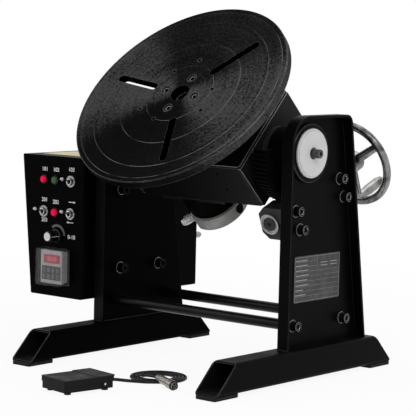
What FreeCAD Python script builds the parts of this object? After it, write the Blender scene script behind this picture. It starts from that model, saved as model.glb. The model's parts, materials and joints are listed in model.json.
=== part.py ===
import FreeCAD, Part

"""Bench welding positioner: a motor-turned table on a hand-tilted carriage.

Frame: the origin lies on the floor, below the middle of the tilt axis. X runs
along the tilt axis towards the dial side, Y to the back and Z up. All sizes
are in millimetres and come from the sheet Sizes.
"""

import math
import os
import re

import Sketcher
from FreeCAD import Placement, Rotation, Vector

SIZES = (
    # stand
    ("axis_height", 380, "tilt axis above the floor"),
    ("rest_tilt", 46, "lean of the table at rest, in degrees"),
    ("pad_thick", 6, "floor pad"),
    ("pad_length", 60, "floor pad, along the foot"),
    ("tube_width", 48, "foot tube"),
    ("tube_tall", 50, "foot tube"),
    ("tube_wall", 3, "foot tube"),
    ("tube_corner", 7, "outer corner radius of the foot tube"),
    ("tube_front", 260, "reach of a foot to the front"),
    ("tube_back", 224, "reach of a foot to the back"),
    ("web_inner", 197, "inner face of a column web from the middle"),
    ("sheet_thick", 4, "column sheet"),
    ("flange_depth", 22, "column flange, web included"),
    ("column_front", 65, "front edge of a column"),
    ("column_back_top", 99, "back edge of a column at its top"),
    ("column_back_foot", 156, "back edge of a column at its foot"),
    ("head_rise", 63, "column top above the tilt axis"),
    ("head_round_front", 46, "corner radius of the column head"),
    ("head_round_back", 17, "corner radius of the column head"),
    ("rod_round", 16, "tie rod diameter"),
    ("rod_rise", 93, "tie rods above the floor"),
    ("rod_front", 32, "front tie rod, before the axis"),
    ("rod_back", 106, "back tie rod, behind the axis"),
    # fasteners of the columns
    ("screw_round", 10, "cap screw shank diameter"),
    ("screw_cap_round", 16, "cap screw head diameter"),
    ("screw_cap", 12, "cap screw head height"),
    ("screw_key", 8, "hexagon socket across its flats"),
    ("screw_key_depth", 6, "depth of the hexagon socket"),
    ("washer_round", 21, "washer diameter"),
    ("washer_thick", 2.5, "washer"),
    ("screw_grip", 16, "thread length in the piece held"),
    ("close_fit", 0.03, "radial play of a running fit"),
    ("hole_play", 0.4, "radial play of a clearance hole"),
    # tilt bearings and dial
    ("bearing_round", 114, "flange of a tilt bearing"),
    ("bearing_flange", 6, "thickness of that flange"),
    ("bearing_spigot", 60, "spigot through the column web"),
    ("bearing_inset", 4, "spigot proud of the web inside"),
    ("journal_round", 25, "tilt shaft in its bush"),
    ("collar_gap", 0.4, "collar to bearing flange"),
    ("collar_round", 92, "dial collar"),
    ("collar_thick", 3.6, "dial collar"),
    ("dial_round", 85, "tilt dial"),
    ("dial_thick", 1.5, "tilt dial"),
    ("dial_seat", 20, "shaft diameter in collar and dial"),
    ("stub_round", 15, "shaft end outside the dial"),
    ("stub_length", 20, "shaft end outside the dial"),
    # carriage
    ("side_outer", 136, "outer face of the carriage sides"),
    ("side_thick", 6, "carriage side plates"),
    ("wall_thick", 5, "carriage front and back walls"),
    ("carriage_half", 88, "carriage half depth"),
    ("deck_top", 57, "carriage deck above the tilt axis"),
    ("deck_thick", 6, "carriage deck"),
    ("carriage_drop", 42, "carriage walls below the tilt axis"),
    ("wall_hole", 6, "spare holes in the front wall"),
    ("wall_hole_side", 75, "spare holes from the middle"),
    ("wall_hole_high", 33, "upper spare hole above the tilt axis"),
    ("wall_hole_low", 5, "lower spare hole below the tilt axis"),
    ("drive_deck_thick", 6, "plate that carries the drive"),
    ("hub_round", 84, "shaft flange on a carriage side"),
    ("hub_thick", 11, "shaft flange on a carriage side"),
    # worm gear
    ("tooth_module", 2.5, "worm gear module"),
    ("wheel_teeth", 64, "teeth of the worm wheel"),
    ("wheel_width", 26, "face of the worm wheel"),
    ("wheel_bore", 35, "bore of the worm wheel"),
    ("wheel_recess", 7, "recess in the wheel's outer side"),
    ("wheel_rim", 8, "rim under the teeth"),
    ("sector_top", 6, "flat top of the toothed sector, above the tilt axis"),
    ("worm_pitch_round", 27, "pitch diameter of the worm"),
    ("tooth_play", 0.35, "play at each flank of a tooth"),
    ("worm_length", 60, "threaded length"),
    ("worm_shaft_round", 15, "worm shaft"),
    ("worm_slope", 22, "rise of the worm shaft to the back, in degrees"),
    ("housing_half", 86, "half length of the worm housing"),
    ("housing_half_tall", 29, "half height of the worm housing"),
    ("housing_reach", 20.5, "free side of the housing from the worm"),
    ("housing_chamfer", 12, "long corners of the housing"),
    ("housing_bore", 34, "bore of the worm housing"),
    ("worm_bearing_round", 35, "worm bearing outside"),
    ("worm_bearing_width", 11, "worm bearing"),
    ("cap_round", 37, "end caps of the housing"),
    ("cap_proud", 3, "end caps outside the housing"),
    ("housing_screw_along", 65, "housing screws from its middle"),
    ("housing_screw_across", 17, "housing screws from the worm"),
    # handwheel
    ("handwheel_round", 160, "handwheel"),
    ("handwheel_rim", 14, "rim of the handwheel"),
    ("handwheel_place", 160, "rim middle from the housing middle"),
    ("handwheel_hub", 36, "hub diameter"),
    ("handwheel_hub_deep", 26, "hub length"),
    ("spoke_width", 14, "spoke"),
    ("spoke_deep", 9, "spoke"),
    ("spoke_start", 30, "first spoke, in degrees"),
    ("handle_round", 19, "crank handle"),
    ("handle_length", 62, "crank handle"),
    ("handle_place", 66, "crank handle from the hub"),
    ("shaft_end", 8, "threaded end of the worm shaft"),
    # table and spindle
    ("table_round", 400, "table"),
    ("table_thick", 16, "table"),
    ("table_face", 134, "table face above the tilt axis"),
    ("table_edge", 1.2, "bevel of the table rim"),
    ("table_bore", 36, "centre hole"),
    ("table_screw_circle", 70, "circle of the four table screws"),
    ("table_screw_turn", -9, "their angle, in degrees"),
    ("table_sink", 17, "counterbore of a table screw"),
    ("table_sink_depth", 11.5, "counterbore of a table screw"),
    ("table_cap", 10, "head height of a table screw"),
    ("tap_round", 6.8, "tapped holes"),
    ("tap_circle_inner", 128, "circle of three tapped holes"),
    ("tap_turn_inner", 11, "their angle, in degrees"),
    ("tap_circle_outer", 152, "circle of three more tapped holes"),
    ("tap_turn_outer", 92, "their angle, in degrees"),
    ("slot_width", 14, "radial slots"),
    ("slot_inner", 66, "inner end of a slot"),
    ("slot_outer", 151, "outer end of a slot"),
    ("slot_turn", 50, "first slot, in degrees"),
    ("spindle_bore", 32, "hollow of the spindle"),
    ("spindle_round", 50, "spindle in its bearings"),
    ("spindle_tail", 44, "spindle in its gear"),
    ("spindle_flange", 100, "flange below the table"),
    ("spindle_flange_thick", 12, "flange below the table"),
    ("spindle_drop", 16, "spindle below the tilt axis"),
    ("spindle_case", 100, "spindle housing outside"),
    ("spindle_case_flange", 132, "its flange on the deck"),
    ("spindle_case_lip", 60, "its opening below"),
    ("spindle_case_low", 20, "its lower end above the tilt axis"),
    ("spindle_bearing_round", 80, "spindle bearing outside"),
    ("spindle_bearing_width", 16, "spindle bearing"),
    ("flange_gap", 2, "spindle flange to housing"),
    # drive
    ("gear_module", 1.25, "module of the spindle gears"),
    ("gear_teeth", 60, "spindle gear"),
    ("pinion_teeth", 20, "drive pinion"),
    ("gear_width", 12, "face of the spindle gears"),
    ("gear_top", -2, "top of the spindle gears from the tilt axis"),
    ("gear_play", 0.12, "play at each flank of these teeth"),
    ("drive_turn", 236, "place of the drive round the spindle, in degrees"),
    ("drive_shaft", 10, "output shaft of the drive"),
    ("gearcase_round", 100, "black gear case"),
    ("gearcase_low", 91, "its lower end below the tilt axis"),
    ("casting_round", 112, "bare aluminium end casting"),
    ("casting_deep", 26, "end casting"),
    ("casting_flat", 50, "flat for the gland, from the middle"),
    ("casting_hole", 14, "plugged hole in the casting's side"),
    ("casting_hole_side", -8, "its place behind the drive's middle"),
    ("casting_edge", 3, "rounding of the casting's lower edge"),
    ("motor_round", 54, "motor"),
    ("motor_length", 92, "motor"),
    ("motor_neck", 30, "neck between gear case and motor"),
    ("motor_seat", 4, "depth of the flat for the motor neck"),
    ("motor_gap", 1, "motor below the drive deck"),
    ("gland_turn", 228, "cable gland, in degrees"),
    ("gland_round", 17, "cable gland"),
    ("gland_length", 24, "cable gland"),
    # control box
    ("box_gap", 0, "column flange to control box"),
    ("box_front", 98, "panel before the tilt axis"),
    ("box_back", 222, "box behind the tilt axis"),
    ("box_low", 95, "bottom of the box"),
    ("box_top_width", 151, "width at the top"),
    ("box_foot_width", 127, "width at the bottom"),
    ("box_wall", 2, "box sheet"),
    ("panel_thick", 2, "front panel"),
    ("spacer_round", 20, "spacers between column and box"),
    ("box_screw_low", 150, "lower box screws above the floor"),
    ("box_screw_drop", 88, "upper box screws below the tilt axis"),
    ("box_screw_front", 23, "front box screws before the axis"),
    ("box_screw_back", 80, "back box screws behind the axis"),
    ("board_low", 130, "bottom of the control board above the floor"),
    ("board_tall", 140, "control board"),
    ("board_deep", 150, "control board"),
    ("board_thick", 1.6, "control board"),
    ("board_parts", 28, "tallest part on the board"),
    ("board_can_round", 22, "round parts on the board"),
    ("board_post_round", 7, "posts under the board"),
    ("board_gap", 12, "control board before the box wall"),
    ("timer_rise", 55, "timer above the bottom of the box"),
    ("knob_rise", 55, "speed knob above the timer"),
    ("row_mid_rise", 42, "second row of controls above the speed knob"),
    ("row_top_rise", 58, "first row of controls above the second"),
    ("panel_head", 43, "top of the box above the first row"),
    ("column_in", 29, "last column of controls from the panel's inner edge"),
    ("column_step_mid", 38, "middle column from the last"),
    ("column_step_outer", 28, "first column from the middle one"),
    ("lamp_round", 11, "pilot lens"),
    ("button_round", 12, "push buttons"),
    ("button_out", 8, "button proud of its bezel"),
    ("button_travel", 3, "travel of a push button"),
    ("bezel_round", 17, "bezels and dress nuts"),
    ("bezel_out", 3, "bezels and dress nuts"),
    ("toggle_bush_round", 11, "threaded bush of a toggle switch"),
    ("toggle_bush_out", 7, "bush proud of the panel"),
    ("toggle_case_wide", 14, "switch body behind the panel"),
    ("toggle_case_tall", 13, "switch body"),
    ("toggle_case_deep", 18, "switch body"),
    ("toggle_hollow", 8.6, "hollow of the bush"),
    ("toggle_length", 27, "lever from its pivot"),
    ("toggle_tip_round", 6, "lever tip"),
    ("toggle_lean", 14, "lever from level, in degrees"),
    ("toggle_pin_round", 2, "cross pin of a lever"),
    ("knob_x", 282, "speed knob from the middle"),
    ("knob_round", 21, "speed knob"),
    ("knob_out", 25, "speed knob"),
    ("knob_cap_round", 17, "pale cap of the knob"),
    ("knob_stem", 6, "potentiometer shaft"),
    ("timer_x", 280, "timer from the middle"),
    ("timer_width", 50, "timer face"),
    ("timer_tall", 56, "timer face"),
    ("timer_out", 8, "timer face before the panel"),
    ("timer_body", 45, "timer body behind the panel"),
    ("timer_deep", 70, "timer body behind the panel"),
    ("hood_width", 62, "clear hood"),
    ("hood_tall", 66, "clear hood"),
    ("hood_out", 24, "clear hood"),
    ("hood_wall", 2, "clear hood"),
    ("hinge_round", 3.6, "hinge barrel of the clear hood"),
    ("hinge_sink", 1.2, "hinge barrel in the hood's wall"),
    ("rear_gland_round", 12, "socket at the back of the box"),
    ("rear_gland_out", 12, "socket at the back of the box"),
    ("rear_gland_z", 188, "socket above the floor"),
    ("rear_gland_x", 232, "socket from the middle"),
    # rating plate
    ("plate_low", 130, "rating plate above the floor"),
    ("plate_tall", 78, "rating plate"),
    ("plate_front", 30, "front edge before the axis"),
    ("plate_long", 128, "rating plate"),
    ("plate_thick", 1, "rating plate"),
    # foot pedal
    ("pedal_x", 8.5, "middle of the pedal"),
    ("pedal_y", -342, "middle of the pedal"),
    ("pedal_turn", -10, "turn of the pedal, in degrees"),
    ("pedal_width", 68, "pedal"),
    ("pedal_length", 98, "pedal"),
    ("pedal_foot", 4, "rubber feet"),
    ("pedal_foot_round", 11, "rubber feet"),
    ("pedal_base_tall", 11, "pedal base"),
    ("pedal_base_wall", 3, "pedal base"),
    ("treadle_top", 24, "top of the treadle above the floor"),
    ("treadle_skirt", 9, "depth of its skirt"),
    ("treadle_wall", 2.5, "treadle"),
    ("treadle_gap", 0.8, "treadle skirt to base"),
    ("pedal_pin_round", 4, "hinge pin"),
    ("pedal_pin_back", 30, "hinge pin behind the pedal's middle"),
    ("pedal_pin_rise", 11.5, "hinge pin above the floor"),
    ("pedal_gland_round", 9, "strain relief of the pedal"),
    ("pedal_gland_long", 14, "strain relief of the pedal"),
    ("pedal_gland_rise", 9.6, "strain relief above the floor"),
    ("pedal_gland_x", -6, "strain relief beside the pedal's middle"),
    ("cord_round", 5.5, "pedal cord"),
    ("coil_x", 36, "middle of the coil"),
    ("coil_y", -179, "middle of the coil"),
    ("coil_outer", 105, "coil outside"),
    ("coil_inner", 49, "coil inside"),
    ("coil_tall", 5.7, "coil"),
    ("plug_round", 16, "plug shell"),
    ("plug_tail_round", 10, "cable clamp of the plug"),
    ("plug_long", 62, "plug"),
)

ALIASES = {alias for alias, _, _ in SIZES}

doc = FreeCAD.newDocument("WeldingPositioner")
sheet = doc.addObject("Spreadsheet::Sheet", "Sizes")
for row, (alias, number, note) in enumerate(SIZES, start=1):
    sheet.set(f"A{row}", alias)
    sheet.set(f"B{row}", str(number))
    sheet.set(f"C{row}", note)
    sheet.setAlias(f"B{row}", alias)
doc.recompute()


def bound(text):
    """Return the expression with each size written as a cell of the sheet."""
    return re.sub(r"[a-z_]+", lambda m: f"Sizes.{m[0]}" if m[0] in ALIASES else m[0], str(text))


def size(text):
    """Return the present value of an expression, in millimetres or degrees."""
    value = sheet.evalExpression(bound(text))
    return float(getattr(value, "Value", value))


# ---------------------------------------------------------------- frames

# A frame is (x, y, z, turn, axis): where a piece's own origin stands and how
# it is turned. Its numbers are expressions on the sheet.
STAND = ("0", "0", "0", "0", Vector(1, 0, 0))
TILT = ("0", "0", "axis_height", "rest_tilt", Vector(1, 0, 0))
AXIS = ("0", "0", "axis_height", "0", Vector(1, 0, 0))
CENTRES = "(tooth_module * wheel_teeth + worm_pitch_round) / 2"
WORM_X = "(side_outer + hub_thick + wheel_width / 2)"
WORM = (
    "0",
    f"{CENTRES} * sin(worm_slope)",
    f"axis_height - {CENTRES} * cos(worm_slope)",
    "worm_slope",
    Vector(1, 0, 0),
)
PEDAL = ("pedal_x", "pedal_y", "0", "pedal_turn", Vector(0, 0, 1))


def set_frame(piece, frame):
    """Stand a piece in a frame and bind its place to the sheet."""
    x, y, z, turn, axis = frame
    piece.Placement = Placement(Vector(size(x), size(y), size(z)), Rotation(axis, size(turn)))
    for path, text in (("Base.x", x), ("Base.y", y), ("Base.z", z), ("Rotation.Angle", turn)):
        if text != "0":
            piece.setExpression(f"Placement.{path}", bound(text))


# ---------------------------------------------------------------- sketches

def polygon(*corners):
    """Describe a closed outline by its corners."""
    return ("polygon", corners)


def box(x_low, x_high, y_low, y_high):
    """Describe a rectangle by its sides."""
    return polygon((x_low, y_low), (x_high, y_low), (x_high, y_high), (x_low, y_high))


def circle(x, y, across):
    """Describe a circle by its middle and diameter."""
    return ("circle", (x, y, across))


def hexagon(x, y, flats):
    """Describe a hexagon by its middle and the distance across its flats."""
    reach = f"({flats}) / 2 / cos(30)"
    return polygon(*[(f"({x}) + {reach} * cos({60 * k})", f"({y}) + {reach} * sin({60 * k})")
                     for k in range(6)])


def slot(x, y, start, end, width, turn):
    """Describe a radial slot with round ends, as a run of corners."""
    corners = []
    for centre, first in ((end, -90), (start, 90)):
        for step in range(7):
            angle = f"({turn}) + {first + 30 * step}"
            corners.append((
                f"({x}) + ({centre}) * cos({turn}) + ({width}) / 2 * cos({angle})",
                f"({y}) + ({centre}) * sin({turn}) + ({width}) / 2 * sin({angle})",
            ))
    return polygon(*corners)


def round_places(across, turn, count):
    """Return places evenly spread on a circle, as expressions."""
    return [(f"({across}) / 2 * cos({turn} + {360 * k / count})",
             f"({across}) / 2 * sin({turn} + {360 * k / count})") for k in range(count)]


class Piece:
    """A sub-part: one PartDesign body with its own label and frame."""

    def __init__(self, label, frame=STAND):
        self.body = doc.addObject("PartDesign::Body", label)
        self.body.Label = label
        set_frame(self.body, frame)
        self.count = 0

    def name(self, kind):
        """Return a fresh name for a feature of this piece."""
        self.count += 1
        return f"{self.body.Label}_{kind}{self.count}"

    def sketch(self, plane, level, loops):
        """Draw closed outlines on an origin plane, lifted to a level."""
        sk = self.body.newObject("Sketcher::SketchObject", self.name("sketch"))
        support = [f for f in self.body.Origin.OriginFeatures if f.Role == plane][0]
        sk.AttachmentSupport = (support, [""])
        sk.MapMode = "FlatFace"
        sk.setExpression("AttachmentOffset.Base.z", bound(level))
        for kind, data in loops:
            if kind == "circle":
                self.add_circle(sk, *data)
            else:
                self.add_polygon(sk, data)
        return sk

    @staticmethod
    def fix(sk, geometry, point, x, y):
        """Tie one point of a sketch to its place on the sheet."""
        for kind, text in (("DistanceX", x), ("DistanceY", y)):
            constraint = Sketcher.Constraint(kind, -1, 1, geometry, point, size(text))
            index = sk.addConstraint(constraint)
            sk.setExpression(f"Constraints[{index}]", bound(text))

    def add_circle(self, sk, x, y, across):
        """Add a circle with its middle and radius tied to the sheet."""
        centre = Vector(size(x), size(y), 0)
        item = sk.addGeometry(Part.Circle(centre, Vector(0, 0, 1), size(across) / 2), False)
        self.fix(sk, item, 3, x, y)
        index = sk.addConstraint(Sketcher.Constraint("Radius", item, size(across) / 2))
        sk.setExpression(f"Constraints[{index}]", bound(f"({across}) / 2"))

    def add_polygon(self, sk, corners):
        """Add a closed outline with every corner tied to the sheet."""
        points = [Vector(size(x), size(y), 0) for x, y in corners]
        first = sk.GeometryCount
        for start, end in zip(points, points[1:] + points[:1]):
            sk.addGeometry(Part.LineSegment(start, end), False)
        for k in range(len(points)):
            after = (k + 1) % len(points)
            sk.addConstraint(Sketcher.Constraint("Coincident", first + k, 2, first + after, 1))
        for k, (x, y) in enumerate(corners):
            self.fix(sk, first + k, 1, x, y)

    def volume(self):
        """Return the body's present volume."""
        return self.body.Shape.Volume if not self.body.Shape.isNull() else 0.0

    def settle(self, feature, grows):
        """Recompute after a feature, and make sure that it did its work."""
        before = self.volume()
        self.body.Tip = feature
        doc.recompute()
        change = self.volume() - before
        if (change > 0) != grows or abs(change) < 1e-6:
            raise RuntimeError(f"{feature.Name} changed the volume by {change:.3f}")

    def pad(self, plane, level, length, *loops, back=False, both=False):
        """Raise outlines from a plane, along its normal unless back is set."""
        feature = self.body.newObject("PartDesign::Pad", self.name("pad"))
        feature.Profile = self.sketch(plane, level, loops)
        feature.setExpression("Length", bound(length))
        feature.Reversed = back
        feature.SideType = "Symmetric" if both else "One side"
        self.settle(feature, True)
        return self

    def cut(self, plane, level, length, *loops, back=False, both=False):
        """Sink outlines from a plane, along its normal unless back is set."""
        feature = self.body.newObject("PartDesign::Pocket", self.name("cut"))
        feature.Profile = self.sketch(plane, level, loops)
        feature.setExpression("Length", bound(length))
        feature.Reversed = not back
        feature.SideType = "Symmetric" if both else "One side"
        self.settle(feature, False)
        return self

    def turn(self, plane, level, axis, *corners, cut=False):
        """Revolve an outline once round an axis of its sketch."""
        kind = "Groove" if cut else "Revolution"
        feature = self.body.newObject(f"PartDesign::{kind}", self.name("turn"))
        profile = self.sketch(plane, level, [polygon(*corners)])
        feature.Profile = profile
        feature.ReferenceAxis = (profile, [axis])
        feature.Angle = 360
        self.settle(feature, not cut)
        return self

    def edges(self, test):
        """Return the names of the edges whose ends and middle pass a test."""
        shape = self.body.Tip.Shape
        found = []
        for number, edge in enumerate(shape.Edges, start=1):
            low, high = edge.ParameterRange
            points = [edge.valueAt(low), edge.valueAt((low + high) / 2), edge.valueAt(high)]
            if test(edge, *points):
                found.append(f"Edge{number}")
        return found

    def soften(self, kind, radius, test):
        """Fillet or chamfer the edges that pass a test."""
        names = self.edges(test)
        if not names:
            raise RuntimeError(f"{self.body.Label}: no edge to soften")
        base = self.body.Tip
        feature = self.body.newObject(f"PartDesign::{kind}", self.name(kind.lower()))
        feature.Base = (base, names)
        feature.setExpression("Size" if kind == "Chamfer" else "Radius", bound(radius))
        self.body.Tip = feature
        doc.recompute()
        if "Invalid" in feature.State:
            raise RuntimeError(f"{feature.Name}: {feature.getStatusString()}")
        return self


def near(point, **place):
    """Tell whether a point has the given coordinates."""
    return all(abs(getattr(point, axis) - size(text)) < 0.05 for axis, text in place.items())


def along(edge, axis):
    """Tell whether an edge is straight and parallel to an axis."""
    if edge.Curve.TypeId != "Part::GeomLine":
        return False
    return abs(abs(edge.Curve.Direction.dot(axis)) - 1) < 1e-6


X_DIR, Y_DIR, Z_DIR = Vector(1, 0, 0), Vector(0, 1, 0), Vector(0, 0, 1)


# ---------------------------------------------------------------- stand

TUBE_MIDDLE = "(web_inner + flange_depth / 2 - 2)"
FOOT_TOP = "(pad_thick + tube_tall)"
COLUMN_TOP = "(axis_height + head_rise)"


def foot(label, side):
    """Make one foot: a square tube with both ends cut at 45 degrees."""
    piece = Piece(label)
    middle = f"{side} * {TUBE_MIDDLE}"
    piece.pad(
        "YZ_Plane", middle, "tube_width",
        polygon(
            ("-tube_front", "pad_thick"),
            ("tube_back", "pad_thick"),
            ("tube_back - tube_tall", FOOT_TOP),
            ("-tube_front + tube_tall", FOOT_TOP),
        ),
        both=True,
    )
    piece.soften("Fillet", "tube_corner", lambda e, a, m, b: along(e, Y_DIR))
    half = "(tube_width / 2 - tube_wall)"
    piece.cut(
        "XZ_Plane", "0", "2 * (tube_front + tube_back)",
        box(f"{middle} - {half}", f"{middle} + {half}",
            "pad_thick + tube_wall", f"{FOOT_TOP} - tube_wall"),
        both=True,
    )
    piece.soften(
        "Fillet", "tube_corner - tube_wall",
        lambda e, a, m, b: along(e, Y_DIR) and abs(abs(m.x - size(middle)) - size(half)) < 0.05,
    )
    return piece


def floor_pads():
    """Make the four pads under the ends of the feet."""
    piece = Piece("floor_pads")
    half = "(tube_width / 2 - tube_corner / 2)"
    loops = []
    for side in (-1, 1):
        middle = f"{side} * {TUBE_MIDDLE}"
        for low, high in (("-tube_front", "-tube_front + pad_length"),
                          ("tube_back - pad_length", "tube_back")):
            loops.append(box(f"{middle} - {half}", f"{middle} + {half}", low, high))
    piece.pad("XY_Plane", "0", "pad_thick", *loops)
    piece.soften("Fillet", "tube_corner / 2", lambda e, a, m, b: along(e, Z_DIR))
    return piece


def column_back(height):
    """Return the back edge of a column at a height, as an expression."""
    return (f"(column_back_foot + (column_back_top - column_back_foot)"
            f" * (({height}) - {FOOT_TOP}) / ({COLUMN_TOP} - {FOOT_TOP}))")


HOUSING_SCREWS = [
    (f"{WORM[1]} + {a} * housing_screw_along * cos(worm_slope)"
     f" - {c} * housing_screw_across * sin(worm_slope)",
     f"{WORM[2]} + {a} * housing_screw_along * sin(worm_slope)"
     f" + {c} * housing_screw_across * cos(worm_slope)")
    for a in (-1, 1) for c in (-1, 1)
]
ROD_PLACES = [("-rod_front", "rod_rise"), ("rod_back", "rod_rise")]
BOX_SCREWS = [(y, z) for y in ("-box_screw_front", "box_screw_back")
              for z in ("box_screw_low", "(axis_height - box_screw_drop)")]
SCREW_HOLE = "screw_round + 2 * hole_play"


def column(label, side, holes):
    """Make one column: a web with a flange bent outwards round its edge."""
    piece = Piece(label)
    back = side < 0
    face = f"{side} * web_inner"
    piece.pad(
        "YZ_Plane", face, "flange_depth",
        polygon(
            ("-column_front", FOOT_TOP),
            ("column_back_foot", FOOT_TOP),
            ("column_back_top", COLUMN_TOP),
            ("-column_front", COLUMN_TOP),
        ),
        back=back,
    )
    inner_top = f"{COLUMN_TOP} - sheet_thick"
    low = f"{FOOT_TOP} - 1"
    piece.cut(
        "YZ_Plane", f"{side} * (web_inner + sheet_thick)", "flange_depth",
        polygon(
            ("-column_front + sheet_thick", low),
            (f"{column_back(low)} - sheet_thick", low),
            (f"{column_back(inner_top)} - sheet_thick", inner_top),
            ("-column_front + sheet_thick", inner_top),
        ),
        back=back,
    )
    for y, radius in (("-column_front + sheet_thick", "head_round_front - sheet_thick"),
                      (f"{column_back(inner_top)} - sheet_thick", "head_round_back - sheet_thick")):
        piece.soften("Fillet", radius,
                     lambda e, a, m, b, y=y: along(e, X_DIR) and near(m, y=y, z=inner_top))
    for y, radius in (("-column_front", "head_round_front"),
                      ("column_back_top", "head_round_back")):
        piece.soften("Fillet", radius,
                     lambda e, a, m, b, y=y: along(e, X_DIR) and near(m, y=y, z=COLUMN_TOP))
    piece.cut(
        "YZ_Plane", face, "sheet_thick",
        circle("0", "axis_height", "bearing_spigot"),
        *[circle(y, z, SCREW_HOLE) for y, z in holes],
        back=back,
    )
    return piece


def tie_rods():
    """Make the two round tie rods between the webs."""
    piece = Piece("tie_rods")
    piece.pad("YZ_Plane", "0", "2 * web_inner",
              *[circle(y, z, "rod_round") for y, z in ROD_PLACES], both=True)
    for side in (-1, 1):
        piece.cut("YZ_Plane", f"{side} * web_inner", "screw_grip",
                  *[circle(y, z, "screw_round") for y, z in ROD_PLACES], back=side > 0)
    return piece


def column_washers():
    """Make the washers under the screw heads on both webs."""
    piece = Piece("column_washers")
    rings = []
    for places, level, back in (
        (HOUSING_SCREWS + ROD_PLACES, "web_inner + sheet_thick", False),
        (ROD_PLACES, "-(web_inner + sheet_thick)", True),
        (BOX_SCREWS, "-web_inner", False),
    ):
        rings = [circle(y, z, d) for y, z in places for d in ("washer_round", SCREW_HOLE)]
        piece.pad("YZ_Plane", level, "washer_thick", *rings, back=back)
    return piece


def column_screws():
    """Make the cap screws that hold worm housing, tie rods and control box."""
    piece = Piece("column_screws")
    for places, seat, grip, side in (
        (HOUSING_SCREWS + ROD_PLACES, "web_inner + sheet_thick + washer_thick",
         "(sheet_thick + washer_thick + screw_grip)", 1),
        (ROD_PLACES, "-(web_inner + sheet_thick + washer_thick)",
         "(sheet_thick + washer_thick + screw_grip)", -1),
        (BOX_SCREWS, "-web_inner + washer_thick", "(sheet_thick + washer_thick + screw_grip)", 1),
    ):
        out, into = side < 0, side > 0
        piece.pad("YZ_Plane", seat, grip,
                  *[circle(y, z, "screw_round") for y, z in places], back=into)
        piece.pad("YZ_Plane", seat, "screw_cap",
                  *[circle(y, z, "screw_cap_round") for y, z in places], back=out)
        piece.cut("YZ_Plane", f"{seat} + {side} * screw_cap", "screw_key_depth",
                  *[hexagon(y, z, "screw_key") for y, z in places], back=into)
    return piece


# ---------------------------------------------------------------- tilt axis

BEARING_OUT = "(web_inner + sheet_thick + bearing_flange)"
JOURNAL_END = f"({BEARING_OUT} + collar_gap)"
DIAL_OUT = f"({JOURNAL_END} + collar_thick + dial_thick)"


def bearing_flanges():
    """Make the two flanged housings of the tilt bearings."""
    piece = Piece("bearing_flanges", AXIS)
    inner = "web_inner - bearing_inset"
    bore = "journal_round / 2 + close_fit"
    for side in (-1, 1):
        piece.turn(
            "XY_Plane", "0", "H_Axis",
            (f"{side} * ({inner})", bore),
            (f"{side} * {BEARING_OUT}", bore),
            (f"{side} * {BEARING_OUT}", "bearing_round / 2"),
            (f"{side} * (web_inner + sheet_thick)", "bearing_round / 2"),
            (f"{side} * (web_inner + sheet_thick)", "bearing_spigot / 2"),
            (f"{side} * ({inner})", "bearing_spigot / 2"),
        )
    return piece


HUB_END = "(side_outer + hub_thick)"
WHEEL_END = f"({HUB_END} + wheel_width)"


WHEEL_SCREWS = round_places("hub_round - 26", "45", 4)
WHEEL_SCREWS_YZ = [(f"({y}) * cos(worm_slope) + ({x}) * sin(worm_slope)",
                    f"({y}) * sin(worm_slope) - ({x}) * cos(worm_slope)") for x, y in WHEEL_SCREWS]


def tilt_shaft_left():
    """Make the plain tilt shaft on the control box side."""
    piece = Piece("tilt_shaft_left", AXIS)
    piece.turn(
        "XY_Plane", "0", "H_Axis",
        ("-side_outer", "0"),
        ("-side_outer", "hub_round / 2"),
        (f"-{HUB_END}", "hub_round / 2"),
        (f"-{HUB_END}", "wheel_bore / 2"),
        (f"-{WHEEL_END}", "wheel_bore / 2"),
        (f"-{WHEEL_END}", "journal_round / 2"),
        (f"-{JOURNAL_END}", "journal_round / 2"),
        (f"-{JOURNAL_END}", "0"),
    )
    return piece


def tilt_shaft_right():
    """Make the driven tilt shaft, with its dial seat and keyed end."""
    piece = Piece("tilt_shaft_right", AXIS)
    end = f"({DIAL_OUT} + stub_length)"
    piece.turn(
        "XY_Plane", "0", "H_Axis",
        ("side_outer", "0"),
        ("side_outer", "hub_round / 2"),
        (HUB_END, "hub_round / 2"),
        (HUB_END, "wheel_bore / 2"),
        (WHEEL_END, "wheel_bore / 2"),
        (WHEEL_END, "journal_round / 2"),
        (JOURNAL_END, "journal_round / 2"),
        (JOURNAL_END, "dial_seat / 2"),
        (DIAL_OUT, "dial_seat / 2"),
        (DIAL_OUT, "stub_round / 2"),
        (end, "stub_round / 2"),
        (end, "0"),
    )
    piece.soften("Chamfer", "1", lambda e, a, m, b: near(m, x=end))
    piece.cut("YZ_Plane", end, "screw_key_depth + 2",
              hexagon("0", "0", "screw_key - 2"), back=True)
    piece.cut("YZ_Plane", HUB_END, "hub_thick",
              *[circle(y, z, "screw_round") for y, z in WHEEL_SCREWS_YZ], back=True)
    return piece


def tilt_dial():
    """Make the stepped steel disc whose face carries the tilt scale."""
    piece = Piece("tilt_dial", AXIS)
    collar_face = f"({JOURNAL_END} + collar_thick)"
    bevel = "0.8"
    piece.turn(
        "XY_Plane", "0", "H_Axis",
        (JOURNAL_END, "dial_seat / 2"),
        (JOURNAL_END, "collar_round / 2"),
        (f"{collar_face} - {bevel}", "collar_round / 2"),
        (collar_face, f"collar_round / 2 - {bevel}"),
        (collar_face, "dial_round / 2"),
        (DIAL_OUT, "dial_round / 2"),
        (DIAL_OUT, "dial_seat / 2"),
    )
    return piece


# ---------------------------------------------------------------- carriage

DECK_LOW = "(deck_top - deck_thick)"
DRIVE_X = "((gear_module * (gear_teeth + pinion_teeth) / 2) * cos(drive_turn))"
DRIVE_Y = "((gear_module * (gear_teeth + pinion_teeth) / 2) * sin(drive_turn))"


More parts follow.
